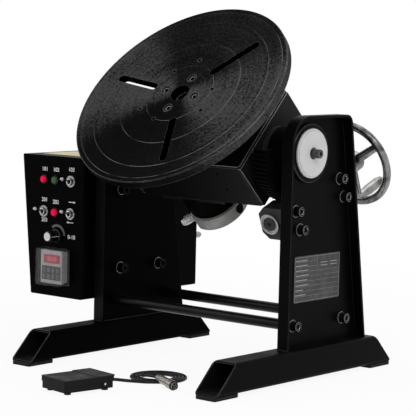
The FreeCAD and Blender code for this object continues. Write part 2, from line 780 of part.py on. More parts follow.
def carriage():
    """Make the welded box that tilts: deck, two sides and two walls."""
    sides = Piece("carriage_sides", TILT)
    for side in (-1, 1):
        sides.pad("YZ_Plane", f"{side} * side_outer", "side_thick",
                  box("-carriage_half", "carriage_half", "-carriage_drop", DECK_LOW),
                  back=side > 0)
    sides.soften("Fillet", "4", lambda e, a, m, b: along(e, X_DIR) and near(m, z="-carriage_drop"))
    walls = Piece("carriage_walls", TILT)
    reach = "(side_outer - side_thick)"
    for side in (-1, 1):
        walls.pad("XZ_Plane", f"-({side} * carriage_half)", "wall_thick",
                  box(f"-{reach}", reach, "-carriage_drop", DECK_LOW), back=side < 0)
    walls.cut("XZ_Plane", "carriage_half", "wall_thick",
              circle("wall_hole_side", "wall_hole_high", "wall_hole"),
              circle("wall_hole_side", "-wall_hole_low", "wall_hole"), back=True)
    deck = Piece("carriage_deck", TILT)
    deck.pad("XY_Plane", DECK_LOW, "deck_thick",
             box("-side_outer", "side_outer", "-carriage_half", "carriage_half"),
             circle("0", "0", "spindle_case"))
    deck.soften("Fillet", "deck_thick - 1", lambda e, a, m, b: along(e, Z_DIR))
    drive_deck = Piece("drive_deck", TILT)
    drive_deck.pad("XY_Plane", "-carriage_drop", "drive_deck_thick",
                   box(f"{DRIVE_X} - gearcase_round / 2 - 12", f"{DRIVE_X} + gearcase_round / 2 + 24",
                       "-carriage_half", "carriage_half"),
                   circle(DRIVE_X, DRIVE_Y, "gearcase_round * 0.4"), back=True)
    return sides, walls, deck, drive_deck


def gear_outline(module, teeth, play, tip=1.0, root=1.25):
    """Return the corners of a straight-sided gear tooth form."""
    radius = module * teeth / 2
    half = math.pi / 2 / teeth - play / radius
    slope = math.tan(math.radians(20)) / radius * module
    rings = (
        (radius - root * module, half + root * slope),
        (radius + tip * module, half - tip * slope),
    )
    corners = []
    for tooth in range(teeth):
        middle = 2 * math.pi * tooth / teeth
        (low, wide), (high, thin) = rings
        for reach, angle in ((low, -wide), (high, -thin), (high, thin), (low, wide)):
            corners.append((reach, middle + angle))
    return [Vector(reach * math.cos(a), reach * math.sin(a), 0) for reach, a in corners]


def prism(corners, depth, twist=0.0):
    """Raise a gear outline along Z with an even twist, as a ruled solid."""
    wires = []
    for level, angle in ((0.0, -twist / 2), (depth, twist / 2)):
        turned = [Rotation(Z_DIR, angle).multVec(corner) for corner in corners]
        points = [point + Vector(0, 0, level) for point in turned]
        wires.append(Part.makePolygon(points + points[:1]))
    return Part.makeLoft(wires, True, True)


def solid(label, shape, frame=STAND):
    """Keep a computed shape as a sub-part in its frame."""
    piece = doc.addObject("Part::Feature", label)
    piece.Label = label
    piece.Shape = shape.removeSplitter()
    set_frame(piece, frame)
    return piece


def disc(radius, low, high, x=0.0, y=0.0):
    """Return a cylinder along Z between two levels."""
    return Part.makeCylinder(radius, high - low, Vector(x, y, low))


def worm_wheel():
    """Make the toothed sector: helical teeth below, a round hub and four screw holes."""
    module = size("tooth_module")
    width = size("wheel_width")
    lead_angle = math.degrees(math.atan2(module, size("worm_pitch_round")))
    pitch_radius = module * size("wheel_teeth") / 2
    twist = math.degrees(width * math.tan(math.radians(lead_angle)) / pitch_radius)
    teeth = gear_outline(module, int(size("wheel_teeth")), size("tooth_play"))
    wheel = prism(teeth, width, twist)
    wheel = wheel.cut(disc(size("wheel_bore / 2"), -1, width + 1))
    web_outer = pitch_radius - 1.25 * module - size("wheel_rim")
    depth = size("wheel_recess")
    recess = disc(web_outer, width - depth, width + 1).cut(
        disc(size("hub_round / 2"), width - depth - 1, width + 2))
    wheel = wheel.cut(recess)
    wheel = wheel.transformed(Placement(Vector(), Rotation(Vector(0, 1, 0), 90)).toMatrix())
    wheel = wheel.transformed(Placement(Vector(size(HUB_END), 0, 0), Rotation()).toMatrix())
    # a quarter of a tooth on, so that each tooth stands in a groove of the worm
    step = size("360 / wheel_teeth / 4")
    wheel = wheel.transformed(
        Placement(Vector(), Rotation(X_DIR, size("worm_slope") + step)).toMatrix())
    hub = Part.makeCylinder(size("hub_round / 2"), 2 * width, Vector(size(HUB_END), 0, 0), X_DIR)
    corner = Vector(size(HUB_END), -2 * pitch_radius, size("sector_top"))
    above = Part.makeBox(2 * width, 4 * pitch_radius, 2 * pitch_radius, corner)
    wheel = wheel.cut(above.cut(hub))
    for y, z in WHEEL_SCREWS_YZ:
        for radius, low in ((SCREW_HOLE, HUB_END), ("table_sink", f"{WHEEL_END} - table_sink_depth")):
            start = Vector(size(low), size(y), size(z))
            wheel = wheel.cut(Part.makeCylinder(size(radius) / 2, width, start, X_DIR))
    return solid("worm_wheel", wheel, AXIS)


def wheel_screws():
    """Make the screws that hold the worm wheel on its shaft flange."""
    piece = Piece("wheel_screws", AXIS)
    seat = f"({WHEEL_END} - table_sink_depth)"
    places = WHEEL_SCREWS_YZ
    piece.pad("YZ_Plane", seat, "wheel_width - table_sink_depth + hub_thick - 2",
              *[circle(y, z, "screw_round") for y, z in places], back=True)
    piece.pad("YZ_Plane", seat, "table_cap",
              *[circle(y, z, "screw_cap_round") for y, z in places])
    piece.cut("YZ_Plane", f"{seat} + table_cap", "screw_key_depth",
              *[hexagon(y, z, "screw_key") for y, z in places], back=True)
    return piece


# ---------------------------------------------------------------- worm drive

def worm_housing():
    """Make the eight-sided worm housing that is screwed to the right web."""
    piece = Piece("worm_housing", WORM)
    free = f"({WORM_X} - housing_reach)"
    piece.pad(
        "XZ_Plane", "0", "2 * housing_half",
        polygon(
            (free, "-housing_half_tall + housing_chamfer"),
            (f"{free} + housing_chamfer", "-housing_half_tall"),
            ("web_inner", "-housing_half_tall"),
            ("web_inner", "housing_half_tall"),
            (f"{free} + housing_chamfer", "housing_half_tall"),
            (free, "housing_half_tall - housing_chamfer"),
        ),
        both=True,
    )
    piece.cut("XZ_Plane", "0", "2 * housing_half", circle(WORM_X, "0", "housing_bore"), both=True)
    for side in (-1, 1):
        piece.cut("XZ_Plane", f"{side} * housing_half", "worm_bearing_width + 3",
                  circle(WORM_X, "0", "worm_bearing_round"), back=side > 0)
    tip = "(tooth_module * (wheel_teeth / 2 + 1))"
    half_slot = (f"(sqrt({tip} * {tip} - ({CENTRES} - housing_half_tall)"
                 f" * ({CENTRES} - housing_half_tall)) + 4)")
    piece.cut(
        "YZ_Plane", WORM_X, "wheel_width + 3",
        box(f"-{half_slot}", half_slot, "0", "housing_half_tall + 1"),
        both=True,
    )
    screw_tap = [circle(f"{a} * housing_screw_along", f"{c} * housing_screw_across", "screw_round")
                 for a in (-1, 1) for c in (-1, 1)]
    piece.cut("YZ_Plane", "web_inner", "screw_grip + 2", *screw_tap, back=True)
    return piece


def worm_caps():
    """Make the front and back end caps of the worm housing."""
    piece = Piece("worm_caps", WORM)
    for side, hole in ((-1, "5"), (1, "worm_shaft_round + 1")):
        level = f"{-side} * housing_half"
        piece.pad("XZ_Plane", level, "cap_proud",
                  circle(WORM_X, "0", "cap_round"), circle(WORM_X, "0", hole), back=side > 0)
        piece.pad("XZ_Plane", level, "3",
                  circle(WORM_X, "0", "worm_bearing_round"), circle(WORM_X, "0", hole),
                  back=side < 0)
        piece.cut("XZ_Plane", f"{-side} * (housing_half + cap_proud)", "1.5",
                  circle(WORM_X, "0", "cap_round - 7"), back=side < 0)
    return piece


def worm_bearings():
    """Make the two bearings of the worm shaft."""
    piece = Piece("worm_bearings", WORM)
    for side in (-1, 1):
        piece.pad("XZ_Plane", f"{side} * (housing_half - 3)", "worm_bearing_width",
                  circle(WORM_X, "0", "worm_bearing_round"),
                  circle(WORM_X, "0", "worm_shaft_round + 2 * close_fit"), back=side > 0)
    return piece


HANDWHEEL_BACK = "(handwheel_place + handwheel_hub_deep / 2)"


def worm_shaft():
    """Make the worm: a single-start thread cut on its shaft."""
    module = size("tooth_module")
    pitch_radius = size("worm_pitch_round / 2")
    lead = math.pi * module
    tip = pitch_radius + module
    core = pitch_radius - 1.2 * module
    half = size("worm_length / 2")
    shaft = disc(size("worm_shaft_round / 2"), -size("housing_half - 3"), size(HANDWHEEL_BACK))
    shaft = shaft.fuse(disc(core, -half - 6, half + 6))
    shaft = shaft.fuse(disc(6, size(HANDWHEEL_BACK), size(f"{HANDWHEEL_BACK} + shaft_end")))
    slope = math.tan(math.radians(20))
    flank = math.pi * module / 4 - size("tooth_play")
    root_half = flank + (pitch_radius - core + 0.4) * slope
    tip_half = flank - (tip - pitch_radius) * slope
    section = Part.makePolygon([
        Vector(core - 0.4, 0, -root_half),
        Vector(tip, 0, -tip_half),
        Vector(tip, 0, tip_half),
        Vector(core - 0.4, 0, root_half),
        Vector(core - 0.4, 0, -root_half),
    ])
    turns = math.floor(2 * half / lead / 2) * 2
    helix = Part.makeHelix(lead, turns * lead, core)
    section.translate(Vector(0, 0, 0))
    thread = Part.Wire(helix).makePipeShell([section], True, True)
    thread.translate(Vector(0, 0, -turns * lead / 2))
    worm = shaft.fuse(thread)
    # stand the screw along the housing: its axis on Y, its start above the shaft
    worm = worm.transformed(Placement(Vector(), Rotation(X_DIR, -90)).toMatrix())
    worm = worm.transformed(Placement(Vector(size(WORM_X), 0, 0), Rotation()).toMatrix())
    return solid("worm_shaft", worm, WORM)


def facets(count, half_wide, half_tall):
    """Return the corners of a closed many-sided outline round the origin."""
    steps = [math.tau * k / count for k in range(count + 1)]
    return [(half_wide * math.cos(a), half_tall * math.sin(a)) for a in steps]


def handwheel():
    """Make the cast handwheel: round rim, three tapering spokes and a hub."""
    rim_mid, half_rim = size("handwheel_round / 2 - handwheel_rim / 2"), size("handwheel_rim / 2")
    section = [Vector(rim_mid + a, 0, b) for a, b in facets(16, half_rim, half_rim)]
    wheel = Part.Face(Part.makePolygon(section)).revolve(Vector(), Z_DIR, 360)
    wheel = Part.Solid(wheel.Shells[0])
    if wheel.Volume < 0:
        wheel.reverse()
    hub_half = size("handwheel_hub_deep / 2")
    wheel = wheel.fuse(disc(size("handwheel_hub / 2"), -hub_half, hub_half))
    wide, deep = size("spoke_width"), size("spoke_deep")
    for k in range(3):
        ends = []
        for reach, share in ((0.0, 1.25), (rim_mid, 1.0)):
            corners = facets(12, wide * share / 2, deep * share / 2)
            ends.append(Part.makePolygon([Vector(reach, a, b) for a, b in corners]))
        spoke = Part.makeLoft(ends, True, True)
        spoke.rotate(Vector(), Z_DIR, -size("spoke_start") - 120 * k)
        wheel = wheel.fuse(spoke)
    turn = math.radians(120 - size("spoke_start"))
    reach = size("handle_place")
    boss = disc(size("handle_round / 2"), -deep / 2, hub_half - 3,
                reach * math.cos(turn), reach * math.sin(turn))
    wheel = wheel.fuse(boss)
    wheel = wheel.cut(disc(size("worm_shaft_round / 2 + 0.01"), -hub_half - 1, hub_half + 1))
    stand = Placement(Vector(size(WORM_X), size("handwheel_place"), 0), Rotation(X_DIR, -90))
    return solid("handwheel", wheel.transformed(stand.toMatrix()), WORM)


def crank_handle():
    """Make the revolving handle on the handwheel rim."""
    turn = math.radians(size("spoke_start") - 120)
    x = size(WORM_X) + size("handle_place") * math.cos(turn)
    z = size("handle_place") * math.sin(turn)
    start = size("handwheel_place + handwheel_hub_deep / 2 - 3 + 0.3")
    big, small = size("handle_round / 2"), size("handle_round / 2 - 2.5")
    long = size("handle_length")
    profile = Part.makePolygon([Vector(0, 0, 0), Vector(small, 0, 0), Vector(big, long * 0.3, 0),
                                Vector(big, long * 0.8, 0), Vector(small, long, 0),
                                Vector(0, long, 0), Vector(0, 0, 0)])
    handle = Part.Face(profile).revolve(Vector(), Y_DIR, 360)
    handle.translate(Vector(x, start, z))
    return solid("crank_handle", handle, WORM)


# ---------------------------------------------------------------- table

TABLE_LOW = "(table_face - table_thick)"
TABLE_SCREWS = round_places("table_screw_circle", "table_screw_turn", 4)


def table_plate():
    """Make the turned table: bore, sunk screws, tapped holes and slots."""
    piece = Piece("table_plate", TILT)
    piece.pad("XY_Plane", TABLE_LOW, "table_thick", circle("0", "0", "table_round"),
              circle("0", "0", "table_bore"))
    piece.soften("Chamfer", "table_edge",
                 lambda e, a, m, b: abs(math.hypot(m.x, m.y) - size("table_round / 2")) < 0.05
                 and e.Length > size("table_round"))
    piece.cut("XY_Plane", TABLE_LOW, "table_thick",
              *[circle(x, y, SCREW_HOLE) for x, y in TABLE_SCREWS],
              *[circle(x, y, "tap_round")
                for x, y in round_places("tap_circle_inner", "tap_turn_inner", 3)],
              *[circle(x, y, "tap_round")
                for x, y in round_places("tap_circle_outer", "tap_turn_outer", 3)],
              *[slot("0", "0", "slot_inner", "slot_outer", "slot_width",
                     f"slot_turn + {120 * k}") for k in range(3)])
    piece.cut("XY_Plane", "table_face", "table_sink_depth",
              *[circle(x, y, "table_sink") for x, y in TABLE_SCREWS], back=True)
    return piece


def table_screws():
    """Make the four cap screws that hold the table on the spindle."""
    piece = Piece("table_screws", TILT)
    seat = "(table_face - table_sink_depth)"
    piece.pad("XY_Plane", seat, "table_thick - table_sink_depth + spindle_flange_thick - 1",
              *[circle(x, y, "screw_round") for x, y in TABLE_SCREWS], back=True)
    piece.pad("XY_Plane", seat, "table_cap",
              *[circle(x, y, "screw_cap_round") for x, y in TABLE_SCREWS])
    piece.cut("XY_Plane", f"{seat} + table_cap", "screw_key_depth",
              *[hexagon(x, y, "screw_key") for x, y in TABLE_SCREWS], back=True)
    return piece


FLANGE_LOW = f"({TABLE_LOW} - spindle_flange_thick)"
CASE_TOP = f"({FLANGE_LOW} - flange_gap)"
CASE_SEAT = "(spindle_case_low + 4)"


def spindle():
    """Make the hollow spindle with its flange below the table."""
    piece = Piece("spindle", TILT)
    piece.turn(
        "XZ_Plane", "0", "V_Axis",
        ("spindle_bore / 2", "-spindle_drop"),
        ("spindle_tail / 2", "-spindle_drop"),
        ("spindle_tail / 2", CASE_SEAT),
        ("spindle_round / 2", CASE_SEAT),
        ("spindle_round / 2", FLANGE_LOW),
        ("spindle_flange / 2", FLANGE_LOW),
        ("spindle_flange / 2", TABLE_LOW),
        ("spindle_bore / 2", TABLE_LOW),
    )
    piece.cut("XY_Plane", TABLE_LOW, "spindle_flange_thick",
              *[circle(x, y, "screw_round") for x, y in TABLE_SCREWS], back=True)
    return piece


def spindle_case():
    """Make the spindle housing that stands in the carriage deck."""
    piece = Piece("spindle_case", TILT)
    piece.turn(
        "XZ_Plane", "0", "V_Axis",
        ("spindle_case_lip / 2", "spindle_case_low"),
        ("spindle_case / 2", "spindle_case_low"),
        ("spindle_case / 2", "deck_top"),
        ("spindle_case_flange / 2", "deck_top"),
        ("spindle_case_flange / 2", "deck_top + 10"),
        ("spindle_case / 2", "deck_top + 10"),
        ("spindle_case / 2", CASE_TOP),
        ("spindle_bearing_round / 2", CASE_TOP),
        ("spindle_bearing_round / 2", CASE_SEAT),
        ("spindle_case_lip / 2", CASE_SEAT),
    )
    return piece


def spindle_bearings():
    """Make the two ball bearings of the spindle, as closed rings."""
    piece = Piece("spindle_bearings", TILT)
    for low in (CASE_SEAT, f"({CASE_TOP} - spindle_bearing_width - 2)"):
        piece.pad("XY_Plane", low, "spindle_bearing_width",
                  circle("0", "0", "spindle_bearing_round"),
                  circle("0", "0", "spindle_round + 2 * close_fit"))
    return piece


def spindle_gear():
    """Make the spur gear on the spindle, with its long hub."""
    module, width = size("gear_module"), size("gear_width")
    teeth = gear_outline(module, int(size("gear_teeth")), size("gear_play"))
    hub_top = size(f"{CASE_SEAT} - gear_top") + width
    gear = prism(teeth, width)
    gear = gear.fuse(disc(size("spindle_case_lip / 2 - 1"), 0, hub_top))
    gear = gear.cut(disc(size("spindle_tail / 2"), -1, hub_top + 1))
    gear.translate(Vector(0, 0, size("gear_top - gear_width")))
    return solid("spindle_gear", gear, TILT)


def drive_pinion():
    """Make the drive's output shaft with its pinion, in mesh with the gear."""
    module, width = size("gear_module"), size("gear_width")
    count = int(size("pinion_teeth"))
    teeth = gear_outline(module, count, size("gear_play"), root=1.15)
    pinion = prism(teeth, width)
    step = 360.0 / count
    turn = size("drive_turn")
    gear_phase = (turn * size("gear_teeth") / 360.0) % 1.0
    pinion.rotate(Vector(), Z_DIR, turn + 180 + step * (0.5 - gear_phase) * -1)
    shaft = disc(size("drive_shaft / 2"), -size("carriage_drop + gear_top - gear_width + 4"), width)
    pinion = pinion.fuse(disc(size("drive_shaft / 2"),
                              -size("carriage_drop") - 4 - size("gear_top - gear_width"), width))
    pinion.translate(Vector(size(DRIVE_X), size(DRIVE_Y), size("gear_top - gear_width")))
    return solid("drive_pinion", pinion, TILT)


DRIVE_TOP = "(-carriage_drop - drive_deck_thick)"
CASTING_LOW = "(-gearcase_low - casting_deep)"


def drive_unit():
    """Make the gear case, its aluminium end casting, the motor and the gland."""
    case = Piece("drive_gearcase", TILT)
    case.pad("XY_Plane", "-gearcase_low", f"gearcase_low + {DRIVE_TOP}",
             circle(DRIVE_X, DRIVE_Y, "gearcase_round"))
    case.cut("XY_Plane", DRIVE_TOP, "12",
             circle(DRIVE_X, DRIVE_Y, "drive_shaft + 2 * close_fit"), back=True)
    neck = f"({DRIVE_Y} + gearcase_round / 2 - motor_seat)"
    case.cut("XY_Plane", "-gearcase_low", f"gearcase_low + {DRIVE_TOP}",
             box(f"{DRIVE_X} - gearcase_round / 2", f"{DRIVE_X} + gearcase_round / 2",
                 neck, f"{neck} + gearcase_round"))
    casting = Piece("drive_casting", TILT)
    casting.pad("XY_Plane", CASTING_LOW, "casting_deep",
                circle(DRIVE_X, DRIVE_Y, "casting_round"))
    far = "casting_round"
    across = f"(casting_flat + {far} / 2)"
    corners = []
    for reach, spread in (("casting_flat", -1), (far, -1), (far, 1), ("casting_flat", 1)):
        corners.append((
            f"{DRIVE_X} + {reach} * cos(gland_turn) - {spread} * {far} * sin(gland_turn)",
            f"{DRIVE_Y} + {reach} * sin(gland_turn) + {spread} * {far} * cos(gland_turn)",
        ))
    casting.cut("XY_Plane", CASTING_LOW, "casting_deep", polygon(*corners))
    casting.soften("Fillet", "casting_edge",
                   lambda e, a, m, b: near(m, z=CASTING_LOW))
    casting.cut("YZ_Plane", f"{DRIVE_X} + casting_round / 2", "6",
                circle(f"{DRIVE_Y} + casting_hole_side", f"{CASTING_LOW} + casting_deep / 2",
                       "casting_hole"), back=True)
    motor = Piece("drive_motor", TILT)
    level = f"{DRIVE_TOP} - motor_gap - motor_round / 2"
    body = f"({DRIVE_Y} + casting_round / 2 + motor_gap)"
    motor.pad("XZ_Plane", f"-{body}", "motor_length", circle(DRIVE_X, level, "motor_round"),
              back=True)
    motor.pad("XZ_Plane", f"-{body}", f"{body} - {neck}",
              circle(DRIVE_X, level, "motor_neck"))
    return case, casting, motor


def drive_gland():
    """Make the nickel cable gland on the casting's flat."""
    turn = math.radians(size("gland_turn"))
    outward = Vector(math.cos(turn), math.sin(turn), 0)
    start = Vector(size(DRIVE_X), size(DRIVE_Y), size(f"{CASTING_LOW} + casting_deep / 2"))
    start += outward * size("casting_flat")
    radius, long = size("gland_round / 2"), size("gland_length")
    hexes = [Vector(radius * math.cos(math.radians(60 * k)), radius * math.sin(math.radians(60 * k)), 0)
             for k in range(7)]
    body = Part.Face(Part.makePolygon(hexes)).extrude(Vector(0, 0, long * 0.35))
    body = body.fuse(disc(radius * 0.9, long * 0.35, long * 0.8))
    body = body.fuse(Part.makeCone(radius * 0.9, radius * 0.62, long * 0.2, Vector(0, 0, long * 0.8)))
    body = body.cut(disc(radius * 0.38, long * 0.4, long + 1))
    body = body.transformed(Placement(start, Rotation(Z_DIR, outward)).toMatrix())
    return solid("drive_gland", body, TILT)


# ---------------------------------------------------------------- control box

BOX_IN = "(web_inner + flange_depth + box_gap)"
TIMER_Z = "(box_low + timer_rise)"
KNOB_Z = f"({TIMER_Z} + knob_rise)"
ROW_MID = f"({KNOB_Z} + row_mid_rise)"
ROW_TOP = f"({ROW_MID} + row_top_rise)"
BOX_HIGH = f"({ROW_TOP} + panel_head)"
COLUMN_LAST = f"({BOX_IN} + column_in)"
COLUMN_MID = f"({COLUMN_LAST} + column_step_mid)"
COLUMN_OUTER = f"({COLUMN_MID} + column_step_outer)"
PANEL_FACE = "box_front"
BEZEL_FACE = "(box_front + bezel_out)"


def box_outline(inset):
    """Return the box's section at the panel, moved inwards by an inset."""
    return polygon(
        (f"-({BOX_IN} + {inset})", f"box_low + {inset}"),
        (f"-({BOX_IN} + {inset})", f"{BOX_HIGH} - {inset}"),
        (f"-({BOX_IN} + box_top_width - {inset})", f"{BOX_HIGH} - {inset}"),
        (f"-({BOX_IN} + box_foot_width - {inset})", f"box_low + {inset}"),
    )


def control_box():
    """Make the folded box, open at the front, and its panel."""
    shell = Piece("box_shell")
    shell.pad("XZ_Plane", "box_front - panel_thick", "box_front - panel_thick + box_back",
              box_outline("0"), back=True)
    shell.soften("Fillet", "3", lambda e, a, m, b: along(e, Y_DIR))
    shell.cut("XZ_Plane", "box_front - panel_thick",
              "box_front - panel_thick + box_back - box_wall", box_outline("box_wall"), back=True)
    shell.cut("XZ_Plane", "-box_back", "box_wall",
              circle("-rear_gland_x", "rear_gland_z", "rear_gland_round - 3"))
    panel = Piece("box_panel")
    panel.pad("XZ_Plane", "box_front", "panel_thick", box_outline("0"), back=True)
    panel.soften("Fillet", "3", lambda e, a, m, b: along(e, Y_DIR))
    half = "(timer_body / 2 + 0.3)"
    panel.cut(
        "XZ_Plane", "box_front", "panel_thick",
        circle(f"-{COLUMN_OUTER}", ROW_TOP, "lamp_round - 3"),
        circle(f"-{COLUMN_MID}", ROW_TOP, "button_round - 3"),
        circle(f"-{COLUMN_MID}", ROW_MID, "button_round - 3"),
        circle(f"-{COLUMN_LAST}", ROW_TOP, "toggle_bush_round"),
        circle(f"-{COLUMN_OUTER}", ROW_MID, "toggle_bush_round"),
        circle(f"-{COLUMN_LAST}", ROW_MID, "toggle_bush_round"),
        circle("-knob_x", KNOB_Z, "knob_stem + 0.6"),
        box(f"-timer_x - {half}", f"-timer_x + {half}", f"{TIMER_Z} - {half}", f"{TIMER_Z} + {half}"),
        back=True,
    )
    return shell, panel


TOGGLES = (
    ("toggle_power", COLUMN_LAST, ROW_TOP),
    ("toggle_mode", COLUMN_OUTER, ROW_MID),
    ("toggle_direction", COLUMN_LAST, ROW_MID),
)


def box_fixings():
    """Make the tapped spacers that carry the box on the left column."""
    spacers = Piece("box_spacers")
    spacers.pad("YZ_Plane", "-(web_inner + sheet_thick)", f"{BOX_IN} - web_inner - sheet_thick",
                *[circle(y, z, "spacer_round") for y, z in BOX_SCREWS], back=True)
    spacers.cut("YZ_Plane", "-(web_inner + sheet_thick)", "screw_grip",
                *[circle(y, z, "screw_round") for y, z in BOX_SCREWS], back=True)
    return spacers


def panel_nuts():
    """Make the bezels and dress nuts round lamp, buttons and toggles."""
    piece = Piece("panel_nuts")
    places = [(COLUMN_OUTER, ROW_TOP, "lamp_round"),
              (COLUMN_MID, ROW_TOP, "button_round"), (COLUMN_MID, ROW_MID, "button_round")]
    loops = []
    for x, z, bore in places:
        loops += [circle(f"-{x}", z, "bezel_round"), circle(f"-{x}", z, f"{bore} + 0.4")]
    for _, x, z in TOGGLES:
        loops += [circle(f"-{x}", z, "bezel_round"), circle(f"-{x}", z, "toggle_bush_round")]
    piece.pad("XZ_Plane", "box_front", "bezel_out", *loops)
    return piece


def toggle_bushes():
    """Make the threaded bushes of the three toggle switches."""
    piece = Piece("toggle_bushes")
    loops = [circle(f"-{x}", z, d) for _, x, z in TOGGLES
             for d in ("toggle_bush_round", "toggle_hollow")]
    piece.pad("XZ_Plane", "box_front - panel_thick - 1", "toggle_bush_out + panel_thick + 1", *loops)
    wide, tall = "toggle_case_wide / 2", "toggle_case_tall / 2"
    bodies = [box(f"-{x} - {wide}", f"-{x} + {wide}", f"{z} - {tall}", f"{z} + {tall}")
              for _, x, z in TOGGLES]
    piece.pad("XZ_Plane", "box_front - panel_thick - 1", "toggle_case_deep", *bodies, back=True)
    return piece


PIVOT_BACK = "(toggle_hollow / 2 - 1)"


def toggles():
    """Make the three bat levers, each leaning up from its pivot."""
    made = []
    for label, x, z in TOGGLES:
        frame = (f"-{x}", "-box_front - 1.5", z, "toggle_lean", Vector(-1, 0, 0))
        ball = "(toggle_hollow / 2 - 0.9)"
        piece = Piece(label, frame)
        piece.turn(
            "XY_Plane", "0", "V_Axis",
            ("0", f"{ball}"),
            (f"{ball} * 0.7", f"{ball} * 0.7"),
            (ball, "0"),
            (f"{ball} * 0.7", f"-{ball} * 0.7"),
            ("1.5", f"-{ball} * 0.95"),
            ("1.5", "-toggle_length * 0.5"),
            ("toggle_tip_round / 2", "-toggle_length * 0.85"),
            ("toggle_tip_round / 2 - 0.8", "-toggle_length * 0.97"),
            ("toggle_tip_round / 4", "-toggle_length"),
            ("0", "-toggle_length"),
        )
        piece.pad("YZ_Plane", "0", "toggle_hollow - 0.6", circle("0", "0", "toggle_pin_round"),
                  both=True)
        made.append(piece)
    return made


def round_controls():
    """Make the pilot lens, the two push buttons and the speed knob."""
    seat = "-(button_travel + 0.2)"
    for label, x, z, across, out, back in (
        ("pilot_lamp", COLUMN_OUTER, ROW_TOP, "lamp_round", "button_out", "0"),
        ("reset_button", COLUMN_MID, ROW_TOP, "button_round", "button_out", seat),
        ("lock_button", COLUMN_MID, ROW_MID, "button_round", "button_out", seat),
    ):
        piece = Piece(label, (f"-{x}", "-box_front", z, "0", X_DIR))
        rim = f"{across} / 2"
        piece.turn(
            "XY_Plane", "0", "V_Axis",
            ("0", "14"), (f"{rim} - 1.8", "14"), (f"{rim} - 1.8", back), (rim, back),
            (rim, f"-({out}) + 1.5"), (f"{rim} - 1.5", f"-({out})"), ("0", f"-({out})"),
        )
    knob = Piece("speed_knob", ("-knob_x", "-box_front", KNOB_Z, "0", X_DIR))
    knob.turn(
        "XY_Plane", "0", "V_Axis",
        ("0", "16"), ("knob_stem / 2", "16"), ("knob_stem / 2", "-0.5"),
        ("knob_round / 2 + 1.5", "-0.5"), ("knob_round / 2 + 1.5", "-4"),
        ("knob_round / 2", "-5"), ("knob_round / 2 - 1", "-knob_out + 1.5"),
        ("knob_cap_round / 2", "-knob_out + 1.5"), ("knob_cap_round / 2 - 0.6", "-knob_out"),
        ("0", "-knob_out"),
    )
    knob.cut("XZ_Plane", "4.5", "knob_out - 7.5",
             *[circle(f"(knob_round / 2 + 0.6) * cos({30 * k + 15})",
                      f"(knob_round / 2 + 0.6) * sin({30 * k + 15})", "2.6") for k in range(12)])
    return knob


def timer():
    """Make the panel timer and the clear hood hinged over its face."""
    case = Piece("timer_case")
    x, z = "-timer_x", TIMER_Z
    case.pad("XZ_Plane", "box_front", "timer_out",
             box(f"{x} - timer_width / 2", f"{x} + timer_width / 2",
                 f"{z} - timer_tall / 2", f"{z} + timer_tall / 2"))
    case.soften("Fillet", "1.5", lambda e, a, m, b: along(e, Y_DIR))
    case.pad("XZ_Plane", "box_front", "timer_deep",
             box(f"{x} - timer_body / 2", f"{x} + timer_body / 2",
                 f"{z} - timer_body / 2", f"{z} + timer_body / 2"), back=True)
    case.cut("XZ_Plane", "box_front + timer_out", "1",
             box(f"{x} - timer_width / 2 + 4", f"{x} + timer_width / 2 - 4",
                 f"{z} + 3", f"{z} + timer_tall / 2 - 6"), back=True)
    hood = Piece("timer_hood")
    hood.pad("XZ_Plane", "box_front + 0.3", "hood_out - 0.3",
             box(f"{x} - hood_width / 2", f"{x} + hood_width / 2",
                 f"{z} - hood_tall / 2", f"{z} + hood_tall / 2"))
    hood.soften("Fillet", "4", lambda e, a, m, b: along(e, Y_DIR))
    hood.cut("XZ_Plane", "box_front + 0.3", "hood_out - 0.3 - hood_wall",
             box(f"{x} - hood_width / 2 + hood_wall", f"{x} + hood_width / 2 - hood_wall",
                 f"{z} - hood_tall / 2 + hood_wall", f"{z} + hood_tall / 2 - hood_wall"))
    hood.pad("XY_Plane", f"{z} - hood_tall * 0.4", "hood_tall * 0.8",
             circle(f"{x} - hood_width / 2 - hinge_round / 2 + hinge_sink",
                    "-(box_front + 0.3 + hinge_round / 2)", "hinge_round"))
    return case, hood


def box_inside():
    """Make the speed control board on the box's inner wall, and the socket."""
    board = Piece("control_board")
    face = f"-({BOX_IN} + box_wall + board_gap)"
    board.pad("YZ_Plane", face, "board_thick",
              box("0", "board_deep", "board_low", "board_low + board_tall"), back=True)
    middle = "(board_low + board_tall * 0.35)"
    sink = box("board_deep * 0.6", "board_deep * 0.95",
               f"{middle} - board_tall * 0.2", f"{middle} + board_tall * 0.2")
    board.pad("YZ_Plane", f"{face} - board_thick", "board_parts", sink, back=True)
    cans = [circle(f"board_deep * {share}", "board_low + board_tall * 0.8", "board_can_round")
            for share in (0.2, 0.42)]
    board.pad("YZ_Plane", f"{face} - board_thick", "board_parts * 0.7", *cans, back=True)
    board.pad("YZ_Plane", face, "board_gap",
              *[circle(y, z, "board_post_round") for y in ("8", "board_deep - 8")
                for z in ("board_low + 8", "board_low + board_tall - 8")])
    socket = Piece("rear_socket", ("-rear_gland_x", "box_back", "rear_gland_z", "0", X_DIR))
    socket.turn(
        "XY_Plane", "0", "V_Axis",
        ("0", "-8"), ("rear_gland_round / 2 - 1.6", "-8"), ("rear_gland_round / 2 - 1.6", "0"),
        ("rear_gland_round / 2", "0"), ("rear_gland_round / 2", "rear_gland_out * 0.7"),
        ("rear_gland_round / 2 - 2", "rear_gland_out"), ("0", "rear_gland_out"),
    )
    return board, socket


def rating_plate():
    """Make the bare rating plate on the right web."""
    piece = Piece("rating_plate")
    piece.pad("YZ_Plane", "web_inner + sheet_thick", "plate_thick",
              box("-plate_front", "plate_long - plate_front", "plate_low", "plate_low + plate_tall"))
    piece.soften("Fillet", "3", lambda e, a, m, b: along(e, X_DIR))
    return piece


# ---------------------------------------------------------------- foot pedal

BASE_TOP = "(pedal_foot + pedal_base_tall)"


